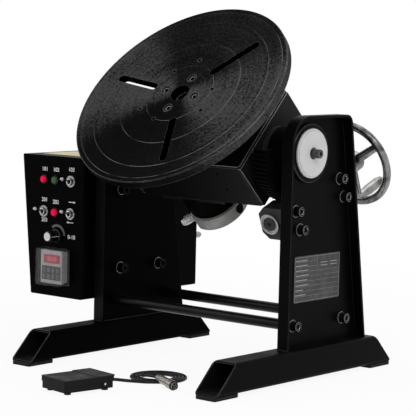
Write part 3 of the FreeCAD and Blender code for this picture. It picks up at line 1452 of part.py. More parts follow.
def pedal():
    """Make the pedal: base tray, treadle, pin, feet and strain relief."""
    half_x = "(pedal_width / 2 - treadle_wall - treadle_gap)"
    half_y = "(pedal_length / 2 - treadle_wall - treadle_gap)"
    base = Piece("pedal_base", PEDAL)
    base.pad("XY_Plane", "pedal_foot", "pedal_base_tall",
             box(f"-{half_x}", half_x, f"-{half_y}", half_y))
    base.soften("Fillet", "3", lambda e, a, m, b: along(e, Z_DIR))
    base.cut("XY_Plane", "pedal_foot + pedal_base_wall", "pedal_base_tall",
             box(f"-{half_x} + pedal_base_wall", f"{half_x} - pedal_base_wall",
                 f"-{half_y} + pedal_base_wall", f"{half_y} - pedal_base_wall"))
    base.cut("YZ_Plane", "0", "pedal_width",
             circle("pedal_pin_back", "pedal_pin_rise", "pedal_pin_round"), both=True)
    base.pad("XZ_Plane", f"-{half_y}", "pedal_gland_long",
             circle("pedal_gland_x", "pedal_gland_rise", "pedal_gland_round"), back=True)
    base.soften("Chamfer", "(pedal_gland_round - cord_round) / 2 - 0.4",
                lambda e, a, m, b: near(m, y=f"{half_y} + pedal_gland_long"))
    feet = Piece("pedal_feet", PEDAL)
    feet.pad("XY_Plane", "0", "pedal_foot",
             *[circle(f"{i} * ({half_x} - 8)", f"{j} * ({half_y} - 9)", "pedal_foot_round")
               for i in (-1, 1) for j in (-1, 1)])
    pin = Piece("pedal_pin", PEDAL)
    pin.pad("YZ_Plane", "0", "pedal_width - 1",
            circle("pedal_pin_back", "pedal_pin_rise", "pedal_pin_round"), both=True)
    treadle = Piece("pedal_treadle", PEDAL)
    treadle.pad("XY_Plane", "treadle_top - treadle_skirt", "treadle_skirt",
                box("-pedal_width / 2", "pedal_width / 2", "-pedal_length / 2", "pedal_length / 2"))
    treadle.soften("Fillet", "4", lambda e, a, m, b: along(e, Z_DIR))
    treadle.cut("XY_Plane", "treadle_top - treadle_skirt", "treadle_skirt - treadle_wall",
                box("-pedal_width / 2 + treadle_wall", "pedal_width / 2 - treadle_wall",
                    "-pedal_length / 2 + treadle_wall", "pedal_length / 2 - treadle_wall"))
    for side in (-1, 1):
        inner = f"{side} * (pedal_width / 2 - treadle_wall)"
        treadle.pad("YZ_Plane", inner, "treadle_wall",
                    box("pedal_pin_back - 6", "pedal_pin_back + 6",
                        "pedal_pin_rise - 5", "treadle_top - treadle_skirt"), back=side < 0)
    treadle.cut("YZ_Plane", "0", "pedal_width",
                circle("pedal_pin_back", "pedal_pin_rise", "pedal_pin_round + 2 * close_fit"),
                both=True)
    return base, feet, pin, treadle


def cord_path(points):
    """Join straight runs with tangent arcs; return the wire and its radii."""
    runs = [b - a for a, b in zip(points, points[1:])]
    edges, radii, last = [], [], points[0]
    for corner, into, out in zip(points[1:-1], runs, runs[1:]):
        turn = into.getAngle(out)
        shorter = min(into.Length, out.Length)
        setback = 0.45 * shorter
        radii.append(setback / math.tan(turn / 2))
        before = corner - Vector(into).normalize() * setback
        after = corner + Vector(out).normalize() * setback
        bisector = (Vector(out).normalize() - Vector(into).normalize()).normalize()
        rise = radii[-1] / math.cos(turn / 2) - radii[-1]
        edges.append(Part.LineSegment(last, before).toShape())
        edges.append(Part.Arc(before, corner + bisector * rise, after).toShape())
        last = after
    edges.append(Part.LineSegment(last, points[-1]).toShape())
    return Part.Wire(edges), radii


def cord_tube(label, points):
    """Make a stretch of cord along its path, and report its bends."""
    radius = size("cord_round / 2")
    path, radii = cord_path(points)
    start = Part.Wire(Part.Circle(points[0], points[1] - points[0], radius).toShape())
    tube = path.makePipeShell([start], True, False)
    ideal = math.pi * radius ** 2 * path.Length
    print(f"{label}: length {path.Length:.1f}, radii", [round(r, 1) for r in radii],
          f"volume {tube.Volume / ideal:.4f} of section times length")
    return tube


# The route starts at the strain relief and meets the coil's outer turn; the
# last stretch leaves the inner turn, climbs over the others and ends in the plug.
LEAD_ROUTE = ((14.5, -262, 7.2), (18, -248, 4.4), (27, -237.5, 3), (40, -231, 3), (53, -225.7, 3))
TAIL_ROUTE = ((10.2, -188.4, 3), (19.5, -197.8, 5.4), (31.6, -203.7, 8.7), (44.5, -207.7, 10.4),
              (57.3, -212.1, 11.6), (69.8, -217.1, 12.4))
PLUG_HEADING = Vector(57.5, -23.2, -4.2)


def cord():
    """Make the pedal's cord, its coil and the plug at its end."""
    stand = Placement(Vector(size("pedal_x"), size("pedal_y"), 0),
                      Rotation(Z_DIR, size("pedal_turn")))
    back = size("pedal_length / 2 - treadle_wall - treadle_gap")
    start = stand.multVec(Vector(size("pedal_gland_x"), back + size("pedal_gland_long"),
                                 size("pedal_gland_rise")))
    lead = [start] + [Vector(*point) for point in LEAD_ROUTE]
    tail = [Vector(*point) for point in TAIL_ROUTE]
    solid("pedal_cord", Part.makeCompound([cord_tube("lead", lead), cord_tube("tail", tail)]))
    coil = Piece("cord_coil", ("coil_x", "coil_y", "0.1", "0", Z_DIR))
    edge = "coil_tall / 3"
    coil.turn(
        "XZ_Plane", "0", "V_Axis",
        ("coil_inner / 2", edge), (f"coil_inner / 2 + {edge}", "0"),
        (f"coil_outer / 2 - {edge}", "0"), ("coil_outer / 2", edge),
        ("coil_outer / 2", f"coil_tall - {edge}"), (f"coil_outer / 2 - {edge}", "coil_tall"),
        (f"coil_inner / 2 + {edge}", "coil_tall"), ("coil_inner / 2", f"coil_tall - {edge}"),
    )
    plug(tail[-1], Vector(PLUG_HEADING).normalize())


def turned(profile, start, heading):
    """Turn a profile of (reach, radius) pairs round a heading from a point."""
    points = [Vector(radius, 0, reach) for reach, radius in profile]
    face = Part.Face(Part.makePolygon(points + points[:1]))
    shape = face.revolve(Vector(), Z_DIR, 360)
    return shape.transformed(Placement(start, Rotation(Z_DIR, heading)).toMatrix())


def plug(start, heading):
    """Make the plug: clamp, shell and insert in one, and its coupling nut."""
    shell, tail, long = size("plug_round / 2"), size("plug_tail_round / 2"), size("plug_long")
    nut_start, nut_end = long * 0.62, long * 0.9
    body = turned(((0, 0), (0, tail), (long * 0.2, tail), (long * 0.27, shell - 1),
                   (nut_start, shell - 1), (nut_start, shell - 2.5), (long, shell - 2.5),
                   (long, 0)), start, heading)
    solid("plug_shell", body)
    bore = shell - 2.5 + 2 * size("close_fit")
    nut = turned(((nut_start + 0.3, bore), (nut_start + 0.3, shell),
                  (nut_end, shell), (nut_end, bore)), start, heading)
    solid("plug_nut", nut)


# ---------------------------------------------------------------- assembly

foot("foot_left", -1)
foot("foot_right", 1)
floor_pads()
column("column_left", -1, ROD_PLACES + BOX_SCREWS)
column("column_right", 1, ROD_PLACES + HOUSING_SCREWS)
tie_rods()
column_washers()
column_screws()
bearing_flanges()
tilt_shaft_left()
tilt_shaft_right()
tilt_dial()
carriage()
worm_wheel()
wheel_screws()
worm_housing()
worm_caps()
worm_bearings()
worm_shaft()
handwheel()
crank_handle()
table_plate()
table_screws()
spindle()
spindle_case()
spindle_bearings()
spindle_gear()
drive_pinion()
drive_unit()
drive_gland()
control_box()
box_fixings()
panel_nuts()
toggle_bushes()
toggles()
round_controls()
timer()
box_inside()
rating_plate()
pedal()
cord()

doc.recompute()


def sub_parts():
    """Return the finished sub-parts: bodies and stand-alone features."""
    bodies = [o for o in doc.Objects if o.TypeId == "PartDesign::Body"]
    return bodies + [o for o in doc.Objects if o.TypeId == "Part::Feature"]


for item in doc.Objects:
    if "Invalid" in item.State or "Error" in item.State:
        raise RuntimeError(f"{item.Name} failed: {item.State}")
for item in sub_parts():
    if item.Shape.isNull() or not item.Shape.isValid():
        raise RuntimeError(f"{item.Label} has no valid shape")

os.makedirs("parts", exist_ok=True)
for item in sub_parts():
    item.Shape.exportStep(f"parts/{item.Label}.step")
print(f"{len(sub_parts())} parts written")
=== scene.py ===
"""Bench welding positioner: the finish of its pieces, its marks, its cord and the studio.

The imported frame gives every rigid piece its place. Painted steel pieces get an
edge-broken copy, other nodes keep their mesh and get a finish, and marks, weld
beads, the timer's face and the pedal's cord are modelled here.
All lengths are in metres, with X along the tilt axis, Y to the back and Z up.
"""

import json
import logging
import math
import random
from collections.abc import Callable, Mapping, Sequence
from dataclasses import dataclass, field, replace
from enum import Enum
from typing import Any

import bpy
from mathutils import Euler, Matrix, Vector

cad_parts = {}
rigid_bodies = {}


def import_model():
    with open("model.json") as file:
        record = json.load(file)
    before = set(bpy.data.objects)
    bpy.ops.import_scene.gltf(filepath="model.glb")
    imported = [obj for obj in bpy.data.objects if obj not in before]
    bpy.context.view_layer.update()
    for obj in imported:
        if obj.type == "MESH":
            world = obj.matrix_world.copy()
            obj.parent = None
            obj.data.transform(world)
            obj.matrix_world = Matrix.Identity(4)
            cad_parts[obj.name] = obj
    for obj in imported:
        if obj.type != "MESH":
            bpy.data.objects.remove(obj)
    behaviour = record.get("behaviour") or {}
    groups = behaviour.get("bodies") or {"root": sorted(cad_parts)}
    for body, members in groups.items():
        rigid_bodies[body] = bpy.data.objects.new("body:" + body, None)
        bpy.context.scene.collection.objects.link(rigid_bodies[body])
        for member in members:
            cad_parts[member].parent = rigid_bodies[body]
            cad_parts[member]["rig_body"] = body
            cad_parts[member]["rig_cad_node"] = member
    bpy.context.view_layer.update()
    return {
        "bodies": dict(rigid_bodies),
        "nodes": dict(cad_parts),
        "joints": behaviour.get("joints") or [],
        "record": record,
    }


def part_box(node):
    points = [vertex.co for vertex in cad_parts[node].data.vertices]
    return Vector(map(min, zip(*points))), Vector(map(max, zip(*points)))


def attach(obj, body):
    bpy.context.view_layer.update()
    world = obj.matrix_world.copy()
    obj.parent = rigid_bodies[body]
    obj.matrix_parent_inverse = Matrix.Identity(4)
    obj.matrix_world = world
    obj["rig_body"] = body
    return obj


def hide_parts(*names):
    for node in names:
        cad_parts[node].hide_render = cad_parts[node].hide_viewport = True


LOG = logging.getLogger("welding_positioner")
MM = 0.001
Colour = tuple[float, float, float]
Place = tuple[float, float, float]
Steps = tuple[tuple[float, float], ...]
SPAN = (0.3, 0.7)  # where nearly all of a noise's values lie
SQUARE = 0.9  # a normal beyond this faces along its axis
ACROSS = 0.3  # a normal within this lies across its axis


# ------------------------------------------------------------------ node trees


class Wire:
    """An output of a node tree that can be reckoned with like a number or a vector."""

    def __init__(self, tree: "Tree", socket: bpy.types.NodeSocket) -> None:
        """Keep the tree and the socket."""
        self.tree = tree
        self.socket = socket

    @property
    def is_vector(self) -> bool:
        """Tell whether the wire carries three numbers."""
        return self.socket.type in {"VECTOR", "RGBA"}

    def _reckon(self, operation: str, first: Any, second: Any = 0.0) -> "Wire":
        """Add a node that reckons with two feeds.

        Args:
            operation: Name of the operation.
            first: Left side, a wire or a number.
            second: Right side, a wire or a number.

        Returns:
            The node's result.
        """
        vector = any(isinstance(feed, Wire) and feed.is_vector for feed in (first, second))
        kind = "ShaderNodeVectorMath" if vector else "ShaderNodeMath"
        node = self.tree.add(kind, {"operation": operation}, {0: first, 1: second})
        return Wire(self.tree, node.outputs[0])

    def __add__(self, other: Any) -> "Wire":
        """Add."""
        return self._reckon("ADD", self, other)

    def __radd__(self, other: Any) -> "Wire":
        """Add to a number."""
        return self._reckon("ADD", other, self)

    def __sub__(self, other: Any) -> "Wire":
        """Subtract."""
        return self._reckon("SUBTRACT", self, other)

    def __rsub__(self, other: Any) -> "Wire":
        """Subtract from a number."""
        return self._reckon("SUBTRACT", other, self)

    def __mul__(self, other: Any) -> "Wire":
        """Multiply."""
        return self._reckon("MULTIPLY", self, other)

    def __rmul__(self, other: Any) -> "Wire":
        """Multiply a number."""
        return self._reckon("MULTIPLY", other, self)

    def __truediv__(self, other: Any) -> "Wire":
        """Divide."""
        return self._reckon("DIVIDE", self, other)

    def __rtruediv__(self, other: Any) -> "Wire":
        """Divide a number."""
        return self._reckon("DIVIDE", other, self)

    def __abs__(self) -> "Wire":
        """Drop the sign."""
        return self._reckon("ABSOLUTE", self)

    def fraction(self) -> "Wire":
        """Keep what follows the decimal point."""
        return self._reckon("FRACT", self)

    def root(self) -> "Wire":
        """Take the square root."""
        return self._reckon("SQRT", self)

    def bearing(self, other: Any) -> "Wire":
        """Return the angle whose tangent is this over another."""
        return self._reckon("ARCTAN2", self, other)

    def largest(self, other: Any) -> "Wire":
        """Take the larger of two."""
        return self._reckon("MAXIMUM", self, other)

    def part(self, axis: str) -> "Wire":
        """Take one coordinate of a vector, named X, Y or Z."""
        node = self.tree.add("ShaderNodeSeparateXYZ", {}, {0: self})
        return Wire(self.tree, node.outputs[axis])

    def between(self, low: float, high: float, start: float = 0.0, end: float = 1.0) -> "Wire":
        """Turn a range smoothly into another.

        Args:
            low: Value that gives the start.
            high: Value that gives the end.
            start: Result at low.
            end: Result at high.

        Returns:
            The smooth result.
        """
        node = self.tree.add(
            "ShaderNodeMapRange",
            {"interpolation_type": "SMOOTHSTEP"},
            {"Value": self, "From Min": low, "From Max": high, "To Min": start, "To Max": end},
        )
        return Wire(self.tree, node.outputs["Result"])


class Tree:
    """The node tree of one finish."""

    def __init__(self, name: str) -> None:
        """Start an empty material.

        Args:
            name: Its name.
        """
        self.material = bpy.data.materials.new(name)
        self.material.use_nodes = True
        self.nodes = self.material.node_tree.nodes
        self.nodes.clear()
        self.output = self.nodes.new("ShaderNodeOutputMaterial")

    def add(self, kind: str, settings: Mapping[str, Any], feeds: Mapping[Any, Any]) -> bpy.types.Node:
        """Add a node.

        Args:
            kind: The node's type.
            settings: Properties that are set first.
            feeds: Input names or numbers, each with its wire or constant.

        Returns:
            The new node.
        """
        node = self.nodes.new(kind)
        for name, value in settings.items():
            setattr(node, name, value)
        for name, feed in feeds.items():
            if isinstance(feed, Wire):
                self.material.node_tree.links.new(feed.socket, node.inputs[name])
            elif isinstance(feed, tuple) and len(feed) == 3 and node.inputs[name].type == "RGBA":
                node.inputs[name].default_value = (*feed, 1.0)
            elif not isinstance(feed, tuple) and node.inputs[name].type == "VECTOR":
                node.inputs[name].default_value = (feed, feed, feed)
            else:
                node.inputs[name].default_value = feed
        return node

    def vector(self, x: Any = 0.0, y: Any = 0.0, z: Any = 0.0) -> Wire:
        """Return a vector of three numbers or wires."""
        return Wire(self, self.add("ShaderNodeCombineXYZ", {}, {"X": x, "Y": y, "Z": z}).outputs[0])

    def measured(self, operation: str, *feeds: Any) -> Wire:
        """Return the number that an operation on vectors gives."""
        node = self.add("ShaderNodeVectorMath", {"operation": operation}, dict(enumerate(feeds)))
        return Wire(self, node.outputs["Value"])

    def place(self) -> Wire:
        """Return the point on the piece, in metres."""
        return Wire(self, self.add("ShaderNodeTexCoord", {}, {}).outputs["Object"])

    def facing(self) -> Wire:
        """Return the surface's normal."""
        return Wire(self, self.add("ShaderNodeNewGeometry", {}, {}).outputs["Normal"])

    def seen_from(self, point: Wire, origin: Place, turn: Place) -> Wire:
        """Return a point in a frame of its own.

        Args:
            point: The point on the piece.
            origin: Origin of the new frame.
            turn: Euler angles that turn the new frame back.

        Returns:
            The point in that frame.
        """
        moved = point - self.vector(*origin)
        node = self.add("ShaderNodeVectorRotate", {"rotation_type": "EULER_XYZ", "invert": True},
                        {"Vector": moved, "Rotation": turn})
        return Wire(self, node.outputs[0])

    def noise(self, point: Wire, scale: float, detail: float = 2.0, swirl: float = 0.0) -> Wire:
        """Return noise from 0 to 1 at a point, its scale in waves per metre."""
        node = self.add("ShaderNodeTexNoise", {}, {
            "Vector": point, "Scale": scale, "Detail": detail, "Distortion": swirl})
        return Wire(self, node.outputs["Fac"])

    def cells(self, point: Wire, scale: float) -> Wire:
        """Return the distance to the nearest of scattered cells."""
        node = self.add("ShaderNodeTexVoronoi", {"feature": "F1"}, {"Vector": point, "Scale": scale})
        return Wire(self, node.outputs["Distance"])

    def blend(self, share: Any, first: Any, second: Any) -> Wire:
        """Blend two colours by a share from 0 to 1."""
        node = self.add("ShaderNodeMix", {"data_type": "RGBA"}, {0: share, 6: first, 7: second})
        return Wire(self, node.outputs[2])

    def bump(self, height: Wire, depth: float) -> Wire:
        """Raise the surface by a height, its depth in metres."""
        node = self.add("ShaderNodeBump", {}, {"Height": height, "Distance": depth, "Strength": 1.0})
        return Wire(self, node.outputs["Normal"])

    def finish(self, feeds: Mapping[str, Any]) -> bpy.types.Material:
        """Close the tree with the main shader.

        Args:
            feeds: Inputs of the main shader.

        Returns:
            The finished material.
        """
        shader = self.add("ShaderNodeBsdfPrincipled", {}, feeds)
        self.material.node_tree.links.new(shader.outputs[0], self.output.inputs["Surface"])
        return self.material


# ------------------------------------------------------------------ finishes


@dataclass(frozen=True)
class Finish:
    """A finish with a colour and a gloss."""

    name: str
    colour: Colour
    roughness: float = 0.5
    specular: float = 0.5
    metallic: float = 0.0

    def shade(self, ratio: float) -> Colour:
        """Return the colour, darker or lighter by a ratio."""
        return tuple(ratio * part for part in self.colour)

    def gloss(self, spread: Wire, less: float, more: float) -> Wire:
        """Return a roughness that varies on both sides of the finish's own."""
        return spread.between(*SPAN, self.roughness - less, self.roughness + more)

    def even(self) -> dict[str, Any]:
        """Return the feeds that are the same all over."""
        return {"Metallic": self.metallic, "Specular IOR Level": self.specular}

    def make(self) -> bpy.types.Material:
        """Return the material of this finish."""
        raise NotImplementedError


@dataclass(frozen=True)
class PaintedSteel(Finish):
    """Powder coat with orange peel, handling marks and a little dust on top."""

    peel: float = 900.0
    peel_depth: float = 0.00003
    dust: float = 0.2
    dust_colour: Colour = (0.03, 0.03, 0.029)

    def make(self) -> bpy.types.Material:
        """Make the powder coat.

        Returns:
            The finished material.
        """
        tree = Tree(self.name)
        point = tree.place()
        peel = tree.noise(point, self.peel)
        patches = tree.noise(point, 11.0, 4.0, 0.4)
        rubbed = tree.noise(point, 60.0, 5.0, 1.2).between(0.58, 0.72)
        upward = tree.facing().part("Z").between(0.5, 1.0)
        dusty = upward * tree.noise(point, 35.0, 6.0).between(0.4, 0.75) * self.dust
        shade = tree.blend(patches.between(*SPAN), self.colour, self.shade(1.5))
        return tree.finish({
            **self.even(),
            "Base Color": tree.blend(dusty, shade, self.dust_colour),
            "Roughness": self.gloss(patches, 0.05, 0.07)
            + rubbed * 0.07 + dusty * 0.2,
            "Normal": tree.bump(peel + rubbed * 0.2, self.peel_depth),
        })


@dataclass(frozen=True)
class TurnedSteel(Finish):
    """Blackened steel faced on a lathe, with painted highlight and shade spread across its face by angle,
    scribed rings lit by painted glints, and painted shade in its slots and bores.
    """

    origin: Place = (0.0, 0.0, 0.38)
    turn: Place = (0.0, 0.0, 0.0)
    rings: tuple[float, ...] = ()
    ring_width: float = 0.0007
    # Colour of the scribed rings and hole edges: scribed metal with painted glint.
    bright: Colour = (0.21, 0.21, 0.21)
    holes: tuple[tuple[float, float, float], ...] = ()
    face: float = 0.134
    # Direction, in degrees, along which the painted highlight is brightest.
    highlight_fan: float = -5.0
    # Direction, in degrees, in which the scribed rings' painted glint is brightest.
    ring_glint_side: float = -40.0
    grazing: Colour = (0.45, 0.45, 0.45)
    # Painted shade for the walls of the slots and bores below the face.
    wall: Colour = (0.0012, 0.0012, 0.0012)
    shaded_recess_depth: tuple[float, float] = (0.0009, 0.0014)
    rim: tuple[float, float] = (0.1955, 0.1975)

    @staticmethod
    def towards(flat: Wire, radius: Wire, angle: float) -> Wire:
        """Return the cosine between a point's direction and a given one.

        Args:
            flat: The point on the face.
            radius: Its distance from the middle.
            angle: The given direction, in degrees.

        Returns:
            A number from -1 to 1.
        """
        way = math.radians(angle)
        along = flat.part("X") * math.cos(way) + flat.part("Y") * math.sin(way)
        return along / (radius + 0.0001)

    def make(self) -> bpy.types.Material:
        """Make the turned and scribed face.

        Returns:
            The finished material.
        """
        tree = Tree(self.name)
        point = tree.place()
        local = tree.seen_from(point, self.origin, self.turn)
        flat = local * tree.vector(1.0, 1.0)
        radius = tree.measured("LENGTH", flat)
        across = tree.vector(radius)
        marks = tree.noise(across, 1400.0, 3.0)
        bands = tree.noise(across, 120.0, 4.0)
        patches = tree.noise(local, 9.0, 4.0, 0.5)
        grit = tree.noise(local, 270.0, 5.0)
        glint_and_wear = tree.noise(local, 22.0, 3.0).between(0.35, 0.62)
        # Painted highlight and shade: the face is brighter along one direction and darker across it.
        highlight_lobe = self.towards(flat, radius, self.highlight_fan)
        glow = (highlight_lobe * highlight_lobe).between(0.30, 1.0) * 0.78 + highlight_lobe * 0.08
        glow = glow + self.towards(flat, radius, self.highlight_fan + 120.0) * 0.08 + 0.19
        mottle = bands.between(0.35, 0.65) * 0.35 + patches.between(*SPAN) * 0.55
        mottle = mottle + grit.between(0.32, 0.68) * 0.85 + 0.12
        tone = glow * mottle + (grit - 0.5) * 0.25
        # Scribed rings brighter towards one direction: painted glint.
        side = self.towards(flat, radius, self.ring_glint_side).between(-0.6, 1.0, 0.16, 1.0)
        scribed: Any = 0.0
        for ring in self.rings:
            line = abs(radius - ring).between(0.35 * self.ring_width, self.ring_width, 1.0, 0.0)
            scribed = line.largest(scribed)
        edges: Any = 0.0
        # Bright rings round the holes: painted highlight on their edges.
        for x, y, hole in self.holes:
            away = tree.measured("DISTANCE", flat, tree.vector(x, y))
            edges = abs(away - hole).between(0.0003, 0.0011, 1.0, 0.0).largest(edges)
        # Bright marks on the face: painted glints on the scribed rings and round the holes.
        light = (scribed * side * (glint_and_wear * 0.75 + 0.1)).largest(edges * (glint_and_wear * 0.4 + 0.3))
        # The base colour follows the painted highlight and shade and the random mottle.
        shade = tree.blend(tone.between(0.0, 1.3), self.shade(0.09), self.colour)
        shade = tree.blend(light, shade, self.bright)
        # Painted shade: darker below the face, inside the rim.
        shaded_recess = (self.face - local.part("Z")).between(*self.shaded_recess_depth)
        shaded_recess = shaded_recess * radius.between(*self.rim, 1.0, 0.0)
        return tree.finish({
            "Base Color": tree.blend(shaded_recess, shade, self.wall),
            **self.even(),
            "Roughness": self.gloss(marks, 0.06, 0.08)
            + grit * 0.06 - light * 0.08,
            "Specular Tint": self.grazing,
            "Normal": tree.bump(marks + grit * 0.5 - scribed * 3.0, 0.00001),
        })


@dataclass(frozen=True)
class RubbedAndLitEdge(Finish):
    """Bevel painted bright in broken stretches: partly coat rubbed through to metal, partly painted
    highlight along the edge.
    """

    coat: Colour = (0.006, 0.006, 0.006)
    bright_stretch_cut: float = 0.45

    def make(self) -> bpy.types.Material:
        """Make the rubbed and highlighted edge.

        Returns:
            The finished material.
        """
        tree = Tree(self.name)
        point = tree.place()
        # Where this noise is high the bevel takes the bright colour: rubbed metal and painted highlight.
        rubbed = tree.noise(point, 55.0, 4.0, 0.8).between(self.bright_stretch_cut - 0.12, self.bright_stretch_cut + 0.12)
        fine = tree.noise(point, 700.0, 3.0)
        shade = tree.blend(rubbed * (fine * 0.5 + 0.6), self.coat, self.colour)
        return tree.finish({
            **self.even(),
            "Base Color": shade,
            "Metallic": rubbed * self.metallic,
            "Roughness": self.gloss(fine, 0.05, 0.1),
            "Normal": tree.bump(fine, 0.000008),
        })


@dataclass(frozen=True)
class MachinedSteel(Finish):
    """Bare or blackened steel with cutting marks along one axis and darker patches."""

    along: str = "X"
    marks: float = 1600.0
    mark_depth: float = 0.000008
    stretch: float = 0.03

    def make(self) -> bpy.types.Material:
        """Make the machined steel.

        Returns:
            The finished material.
        """
        tree = Tree(self.name)
        point = tree.place()
        drawn = point * tree.vector(*(self.stretch if axis == self.along else 1.0 for axis in "XYZ"))
        marks = tree.noise(drawn, self.marks, 3.0)
        stains = tree.noise(point, 60.0, 4.0, 0.7)
        shade = tree.blend(stains.between(*SPAN) * 0.7 + marks * 0.3,
                           self.shade(0.62), self.shade(1.25))
        return tree.finish({
            "Base Color": shade,
            **self.even(),
            "Roughness": marks.between(0.25, 0.75, self.roughness - 0.06, self.roughness + 0.1)
            + stains * 0.05,
            "Normal": tree.bump(marks, self.mark_depth),
        })


@dataclass(frozen=True)
class CastAluminium(Finish):
    """Sand-cast aluminium: grainy skin with small pits and dull patches."""

    grain: float = 650.0
    grain_depth: float = 0.00012

    def make(self) -> bpy.types.Material:
        """Make the cast skin.

        Returns:
            The finished material.
        """
        tree = Tree(self.name)
        point = tree.place()
        grain = tree.noise(point, self.grain, 5.0)
        pits = tree.cells(point, 420.0).between(0.05, 0.22)
        dull = tree.noise(point, 35.0, 4.0, 0.5)
        shade = tree.blend(dull.between(*SPAN), self.shade(0.75), self.colour)
        return tree.finish({
            "Base Color": tree.blend(pits, self.shade(0.4), shade),
            **self.even(),
            "Roughness": self.gloss(grain, 0.08, 0.1),
            "Normal": tree.bump(grain + pits * 0.5, self.grain_depth),
        })


@dataclass(frozen=True)
class Plated(Finish):
    """Chrome or nickel plate, bright with faint wiping marks."""

    def make(self) -> bpy.types.Material:
        """Make the plating.

        Returns:
            The finished material.
        """
        tree = Tree(self.name)
        point = tree.place()
        wiped = tree.noise(point, 240.0, 4.0, 1.5)
        cloudy = tree.noise(point, 70.0, 3.0)
        shade = tree.blend(cloudy.between(*SPAN), self.shade(0.7), self.colour)
        return tree.finish({
            "Base Color": shade,
            **self.even(),
            "Roughness": wiped.between(0.3, 0.75, self.roughness, self.roughness + 0.14),
            "Normal": tree.bump(wiped, 0.000004),
        })


@dataclass(frozen=True)
class WornBrightReflecting(Finish):
    """Polished aluminium gone dull in patches, with light and dark reflections painted into its colour."""

    marks: float = 900.0
    mark_depth: float = 0.00001

    def make(self) -> bpy.types.Material:
        """Make the handled metal.

        Returns:
            The finished material.
        """
        tree = Tree(self.name)
        point = tree.place()
        patches = tree.noise(point, 26.0, 3.0, 0.8)
        reflection_streaks = tree.noise(point, 90.0, 4.0, 1.2)
        fine = tree.noise(point, self.marks, 3.0)
        # Dark and light patches in the base colour: dull handling marks and painted reflections.
        tone = patches.between(0.36, 0.62) * (reflection_streaks * 0.5 + 0.6)
        return tree.finish({
            "Base Color": tree.blend(tone, self.shade(0.16), self.colour),
            **self.even(),
            "Roughness": self.gloss(fine, 0.05, 0.1),
            "Normal": tree.bump(fine, self.mark_depth),
        })


@dataclass(frozen=True)
class Threaded(Finish):
    """Plated screw fitting: ridges across its axis, with painted highlight on the crests and painted shade
    in the grooves.
    """

    along: Place = (0.0, 1.0, 0.0)
    pitch: float = 2.4 * MM

    def make(self) -> bpy.types.Material:
        """Make the ridged plating.

        Returns:
            The finished material.
        """
        tree = Tree(self.name)
        point = tree.place()
        axis = tree.measured("DOT_PRODUCT", point, self.along)
        ridge = abs((axis / self.pitch).fraction() - 0.5) * 2.0
        wiped = tree.noise(point, 300.0, 4.0, 1.5)
        # Grooves darker and crests lighter in the base colour: painted shade and highlight.
        tone = ridge.between(0.15, 0.6) * wiped.between(0.3, 0.6, 0.45, 1.0)
        return tree.finish({
            "Base Color": tree.blend(tone, self.shade(0.10), self.colour),
            **self.even(),
            "Roughness": wiped.between(0.3, 0.75, self.roughness, self.roughness + 0.14),
            "Normal": tree.bump(ridge, 0.0002),
        })


@dataclass(frozen=True)
class Moulded(Finish):
    """Moulded plastic or rubber with a spark-eroded grain."""

    grain: float = 1500.0
    grain_depth: float = 0.00003
    alpha: float = 1.0
    glow: float = 0.0

    def make(self) -> bpy.types.Material:
        """Make the moulding.

        Returns:
            The finished material.
        """
        tree = Tree(self.name)
        point = tree.place()
        grain = tree.noise(point, self.grain, 3.0)
        handled = tree.noise(point, 90.0, 4.0, 0.6)
        shade = tree.blend(handled.between(*SPAN), self.shade(0.8), self.colour)
        feeds: dict[str, Any] = {
            "Base Color": shade,
            **self.even(),
            "Roughness": handled.between(0.25, 0.75, self.roughness - 0.07, self.roughness + 0.1),
            "Alpha": self.alpha,
            "Normal": tree.bump(grain, self.grain_depth),
        }
        if self.glow:
            feeds["Emission Color"] = shade
            feeds["Emission Strength"] = self.glow
        return tree.finish(feeds)


@dataclass(frozen=True)
class DialFace(Finish):
    """White dial plate with fine graduations round its edge."""

    middle: Place = (0.0, 0.0, 0.38)
    outer: float = 0.0395
    minor: float = 0.0370
    major: float = 0.0348
    step: float = 5.0
    mark: Colour = (0.45, 0.16, 0.16)

    def make(self) -> bpy.types.Material:
        """Make the graduated plate.

        Returns:
            The finished material.
        """
        tree = Tree(self.name)
        point = tree.place()
        local = tree.seen_from(point, self.middle, (0.0, 0.0, 0.0))
        side, rise = local.part("Y"), local.part("Z")
        angle = side.bearing(rise) * (180.0 / math.pi)
        radius = (side * side + rise * rise).root()
        marks: Any = 0.0
        for step, inner, half in ((self.step, self.minor, 0.00012), (30.0, self.major, 0.0002)):
            off = abs((angle / step + 0.5 + 720.0).fraction() - 0.5) * (step * math.pi / 180.0)
            line = (off * radius).between(half, 1.8 * half, 1.0, 0.0)
            reach = radius.between(inner - 0.0001, inner, 0.0, 1.0)
            inside = radius.between(self.outer, self.outer + 0.0001, 1.0, 0.0)
            marks = (line * reach * inside).largest(marks)
        grain = tree.noise(point, 900.0, 3.0)
        aged = tree.noise(point, 45.0, 4.0)
        shade = tree.blend(aged.between(*SPAN), self.shade(0.93), self.colour)
        return tree.finish({
            **self.even(),
            "Base Color": tree.blend(marks * 0.45, shade, self.mark),
            "Roughness": self.gloss(aged, 0.05, 0.08),
            "Normal": tree.bump(grain, 0.000006),
        })


@dataclass(frozen=True)
class ProtectiveFilm(Finish):
    """Thin printed film with soft blocks of colour."""

    second: Colour = (0.25, 0.42, 0.62)
    split: tuple[float, float] = (0.018, 0.026)
    stray: float = 0.03

    def make(self) -> bpy.types.Material:
        """Make the film.

        Returns:
            The finished material.
        """
        tree = Tree(self.name)
        point = tree.place()
        split = (point.part("Y") + tree.noise(point, 40.0, 2.0) * self.stray).between(*self.split)
        flecks = tree.cells(point, 260.0).between(0.2, 0.5)
        shade = tree.blend(flecks, self.shade(0.6), self.colour)
        return tree.finish({
            **self.even(),
            "Base Color": tree.blend(split, shade, self.second),
            "Roughness": flecks.between(0.0, 1.0, self.roughness, self.roughness + 0.15),
            "Normal": tree.bump(tree.noise(point, 130.0, 3.0), 0.0002),
        })


